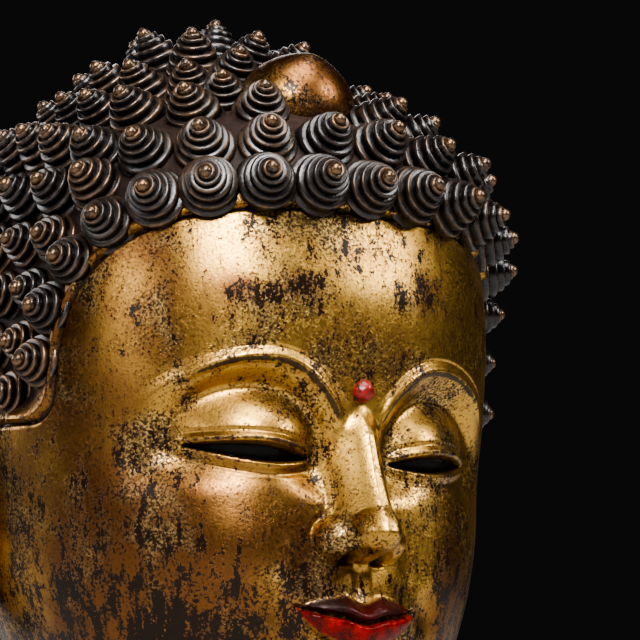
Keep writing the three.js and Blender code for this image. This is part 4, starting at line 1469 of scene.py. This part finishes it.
def skin_gilding(name, rubbed_off):
    """Gilding of face and neck, with rubbed brow edges and painted shade under the brows, a painted shadow
    line before the hair, red lips with painted shade on the upper, black eyes, nostrils black as painted
    shade, and the scalp's bare ground.
    """
    leaf = Gilding(name, rubbed_off)
    # The worn mask adds real wear, and on the lower face painted shade that darkens and browns the gold
    leaf.add_wear_and_shade(leaf.painted("worn"))
    hair = leaf.painted("hair")
    # Edges rubbed through to lacquer; under the brow this darkening is also painted shade
    rubbed = leaf.step(leaf.painted("ridge") + (leaf.specks - 0.5) * EDGE_SPECKS, *EDGE_RUBBED_AND_SHADED)
    # Painted shadow: a dark line in the groove where the hair's cap steps out from the forehead
    line = leaf.step(hair, *HAIRLINE_SHADOW_START) * (1 - leaf.step(hair, *HAIRLINE_SHADOW_END))
    dark = leaf.bare_lacquer() | rubbed * EDGE_DARK | line
    whole = 1 - leaf.step(leaf.specks + leaf.streaks, *LIP_CHIP)
    upper = leaf.painted("upper_lip") * whole
    lower = leaf.painted("lower_lip") * whole
    slit = leaf.painted("slit")
    scalp = leaf.step(hair + (leaf.specks - 0.5) * SCALP_SPECKS, *SCALP)
    mottle = leaf.step(leaf.specks, *TWO_TONE)
    color = leaf.color(dark)
    # Painted shade: the upper lip, which faces down, is painted darker than the lower, from dark red to
    # lacquer
    color = leaf.mix(upper, color, leaf.mix(leaf.step(leaf.patches, *LIP_PATCH), DARK_RED, LACQUER))
    color = leaf.mix(lower, color, leaf.mix(mottle, RED, DARK_RED))
    # Black eyes, with the nostrils black as painted shade
    color = leaf.mix(slit, color, BLACK)
    color = leaf.mix(scalp, color, leaf.mix(mottle, HAIR_GROUND, BROWN_GROUND))
    metal = (1 - dark) * (1 - (upper | lower | slit | scalp))
    rough = leaf.roughness(dark) * (1 - (scalp | slit)) + SCALP_ROUGH * scalp + SLIT_ROUGH * slit
    return leaf.lay(dark, color, metal, rough)


def curl_bronze():
    """Dark lacquered bronze, rubbed back to brown metal on the whorls' edges and the tips."""
    finish = Finish("curl_bronze")
    clouds = finish.noise(*CURL_CLOUD)
    specks = finish.noise(*CURL_SPECK)
    grains = finish.noise(*CURL_GRAIN)
    crest = finish.painted("crest")
    tip = finish.painted("tip")
    warm = finish.painted("warm")
    rubbing = crest + (specks - 0.5) * SPECK_RUBS + (clouds - 0.5) * CLOUD_RUBS + WARM_RUBS * warm
    rubbed = finish.step(rubbing, *CURL_RUBBED) | tip * finish.step(specks, *TIP_RUBBED)
    browning = clouds + (specks - 0.5) * SPECK_BROWNS + WARM_BROWNS * warm
    brown = finish.step(browning, *CURL_BROWN)
    color = finish.mix(brown, DARK_BRONZE, BROWN_BRONZE)
    color = finish.mix(finish.step(crest, *WHORL_DARK), color, BLACK)
    color = finish.mix(rubbed * RUBBED_SHARE, color, WORN_BRONZE)
    rough = CURL_ROUGH + CURL_SPECK_ROUGH * (specks - CURL_SPECK_LEVEL) + CURL_GRAIN_ROUGH * (grains - 0.5)
    finish.surface(
        Base_Color=color,
        Metallic=RUBBED_SHARE * rubbed,
        Roughness=rough,
        Normal=finish.bump(specks + CURL_GRAIN_RELIEF * grains, *CURL_BUMP),
        Specular_IOR_Level=CURL_GLOSS,
    )
    return finish.material


def red_stone():
    """Polished red stone with darker veins."""
    finish = Finish("red_stone")
    mottle = finish.noise(*STONE_MOTTLE)
    veins = finish.noise(*STONE_VEIN)
    color = finish.mix(finish.step(mottle, *MOTTLED), RED, DARK_RED)
    color = finish.mix(finish.step(veins, *VEINED), color, LACQUER)
    rough = STONE_ROUGH + MOTTLE_ROUGH * mottle
    finish.surface(Base_Color=color, Roughness=rough, Coat_Weight=STONE_COAT)
    return finish.material


# Stage, light and camera


def floor():
    piece = start_piece("floor", bpy.ops.mesh.primitive_plane_add, size=FLOOR_SIZE)
    finish = Finish("pale_floor")
    finish.surface(Base_Color=FLOOR_COLOR, Roughness=FLOOR_ROUGHNESS)
    piece.data.materials.append(finish.material)


def softbox(name, spot, size, power):
    light = bpy.data.lights.new(name, "AREA")
    light.size = size
    light.energy = power
    lamp = bpy.data.objects.new(name, light)
    bpy.context.scene.collection.objects.link(lamp)
    lamp.location = spot
    lamp.rotation_euler = (Vector(LIGHT_AIM) - Vector(spot)).to_track_quat("-Z", "Y").to_euler()
    lamp.visible_camera = False


def studio():
    world = bpy.data.worlds.new("studio")
    bpy.context.scene.world = world
    world.use_nodes = True
    world.node_tree.nodes["Background"].inputs["Color"].default_value = WORLD_COLOR
    bpy.context.scene.view_settings.view_transform = "AgX"
    bpy.context.scene.view_settings.look = "AgX - High Contrast"
    for name, (spot, size, power) in SOFTBOXES.items():
        softbox(name, spot, size, power)


def camera():
    """The viewing angle as back, right and up directions, turned by the roll."""
    cos_a = math.cos(VIEW_AZIMUTH)
    sin_a = math.sin(VIEW_AZIMUTH)
    cos_e = math.cos(VIEW_ELEVATION)
    sin_e = math.sin(VIEW_ELEVATION)
    back = Vector((sin_a * cos_e, -cos_a * cos_e, sin_e))
    level = Vector((cos_a, sin_a, 0))
    rise = Vector((-sin_a * sin_e, cos_a * sin_e, cos_e))
    right = level * math.cos(VIEW_ROLL) - rise * math.sin(VIEW_ROLL)
    up = level * math.sin(VIEW_ROLL) + rise * math.cos(VIEW_ROLL)
    aim = Vector((0, 0, AIM_HEIGHT))
    eye = aim + back * VIEW_DISTANCE
    centre = aim + right * FRAME_RIGHT - up * FRAME_DOWN
    forward = (centre - eye).normalized()
    right = forward.cross(up).normalized()
    up = right.cross(forward)
    view = bpy.data.objects.new("camera", bpy.data.cameras.new("camera"))
    bpy.context.scene.collection.objects.link(view)
    turn = Matrix((right, up, -forward)).transposed().to_4x4()
    view.matrix_world = Matrix.Translation(to_metres(np.array(eye))) @ turn
    view.data.lens = LENS
    view.data.clip_start = NEAREST
    bpy.context.scene.camera = view


ear_gold = plain_gilding("ear_gold", EAR_RUBBED)
head_casting(skin_gilding("skin_gold", SKIN_RUBBED))
ear("ear_left", -1, ear_gold)
ear("ear_right", 1, ear_gold)
hair_jewel(plain_gilding("jewel_gold", JEWEL_RUBBED, JEWEL_BROWNED))
urna(red_stone())
all_curls(curl_bronze())
floor()
studio()
camera()
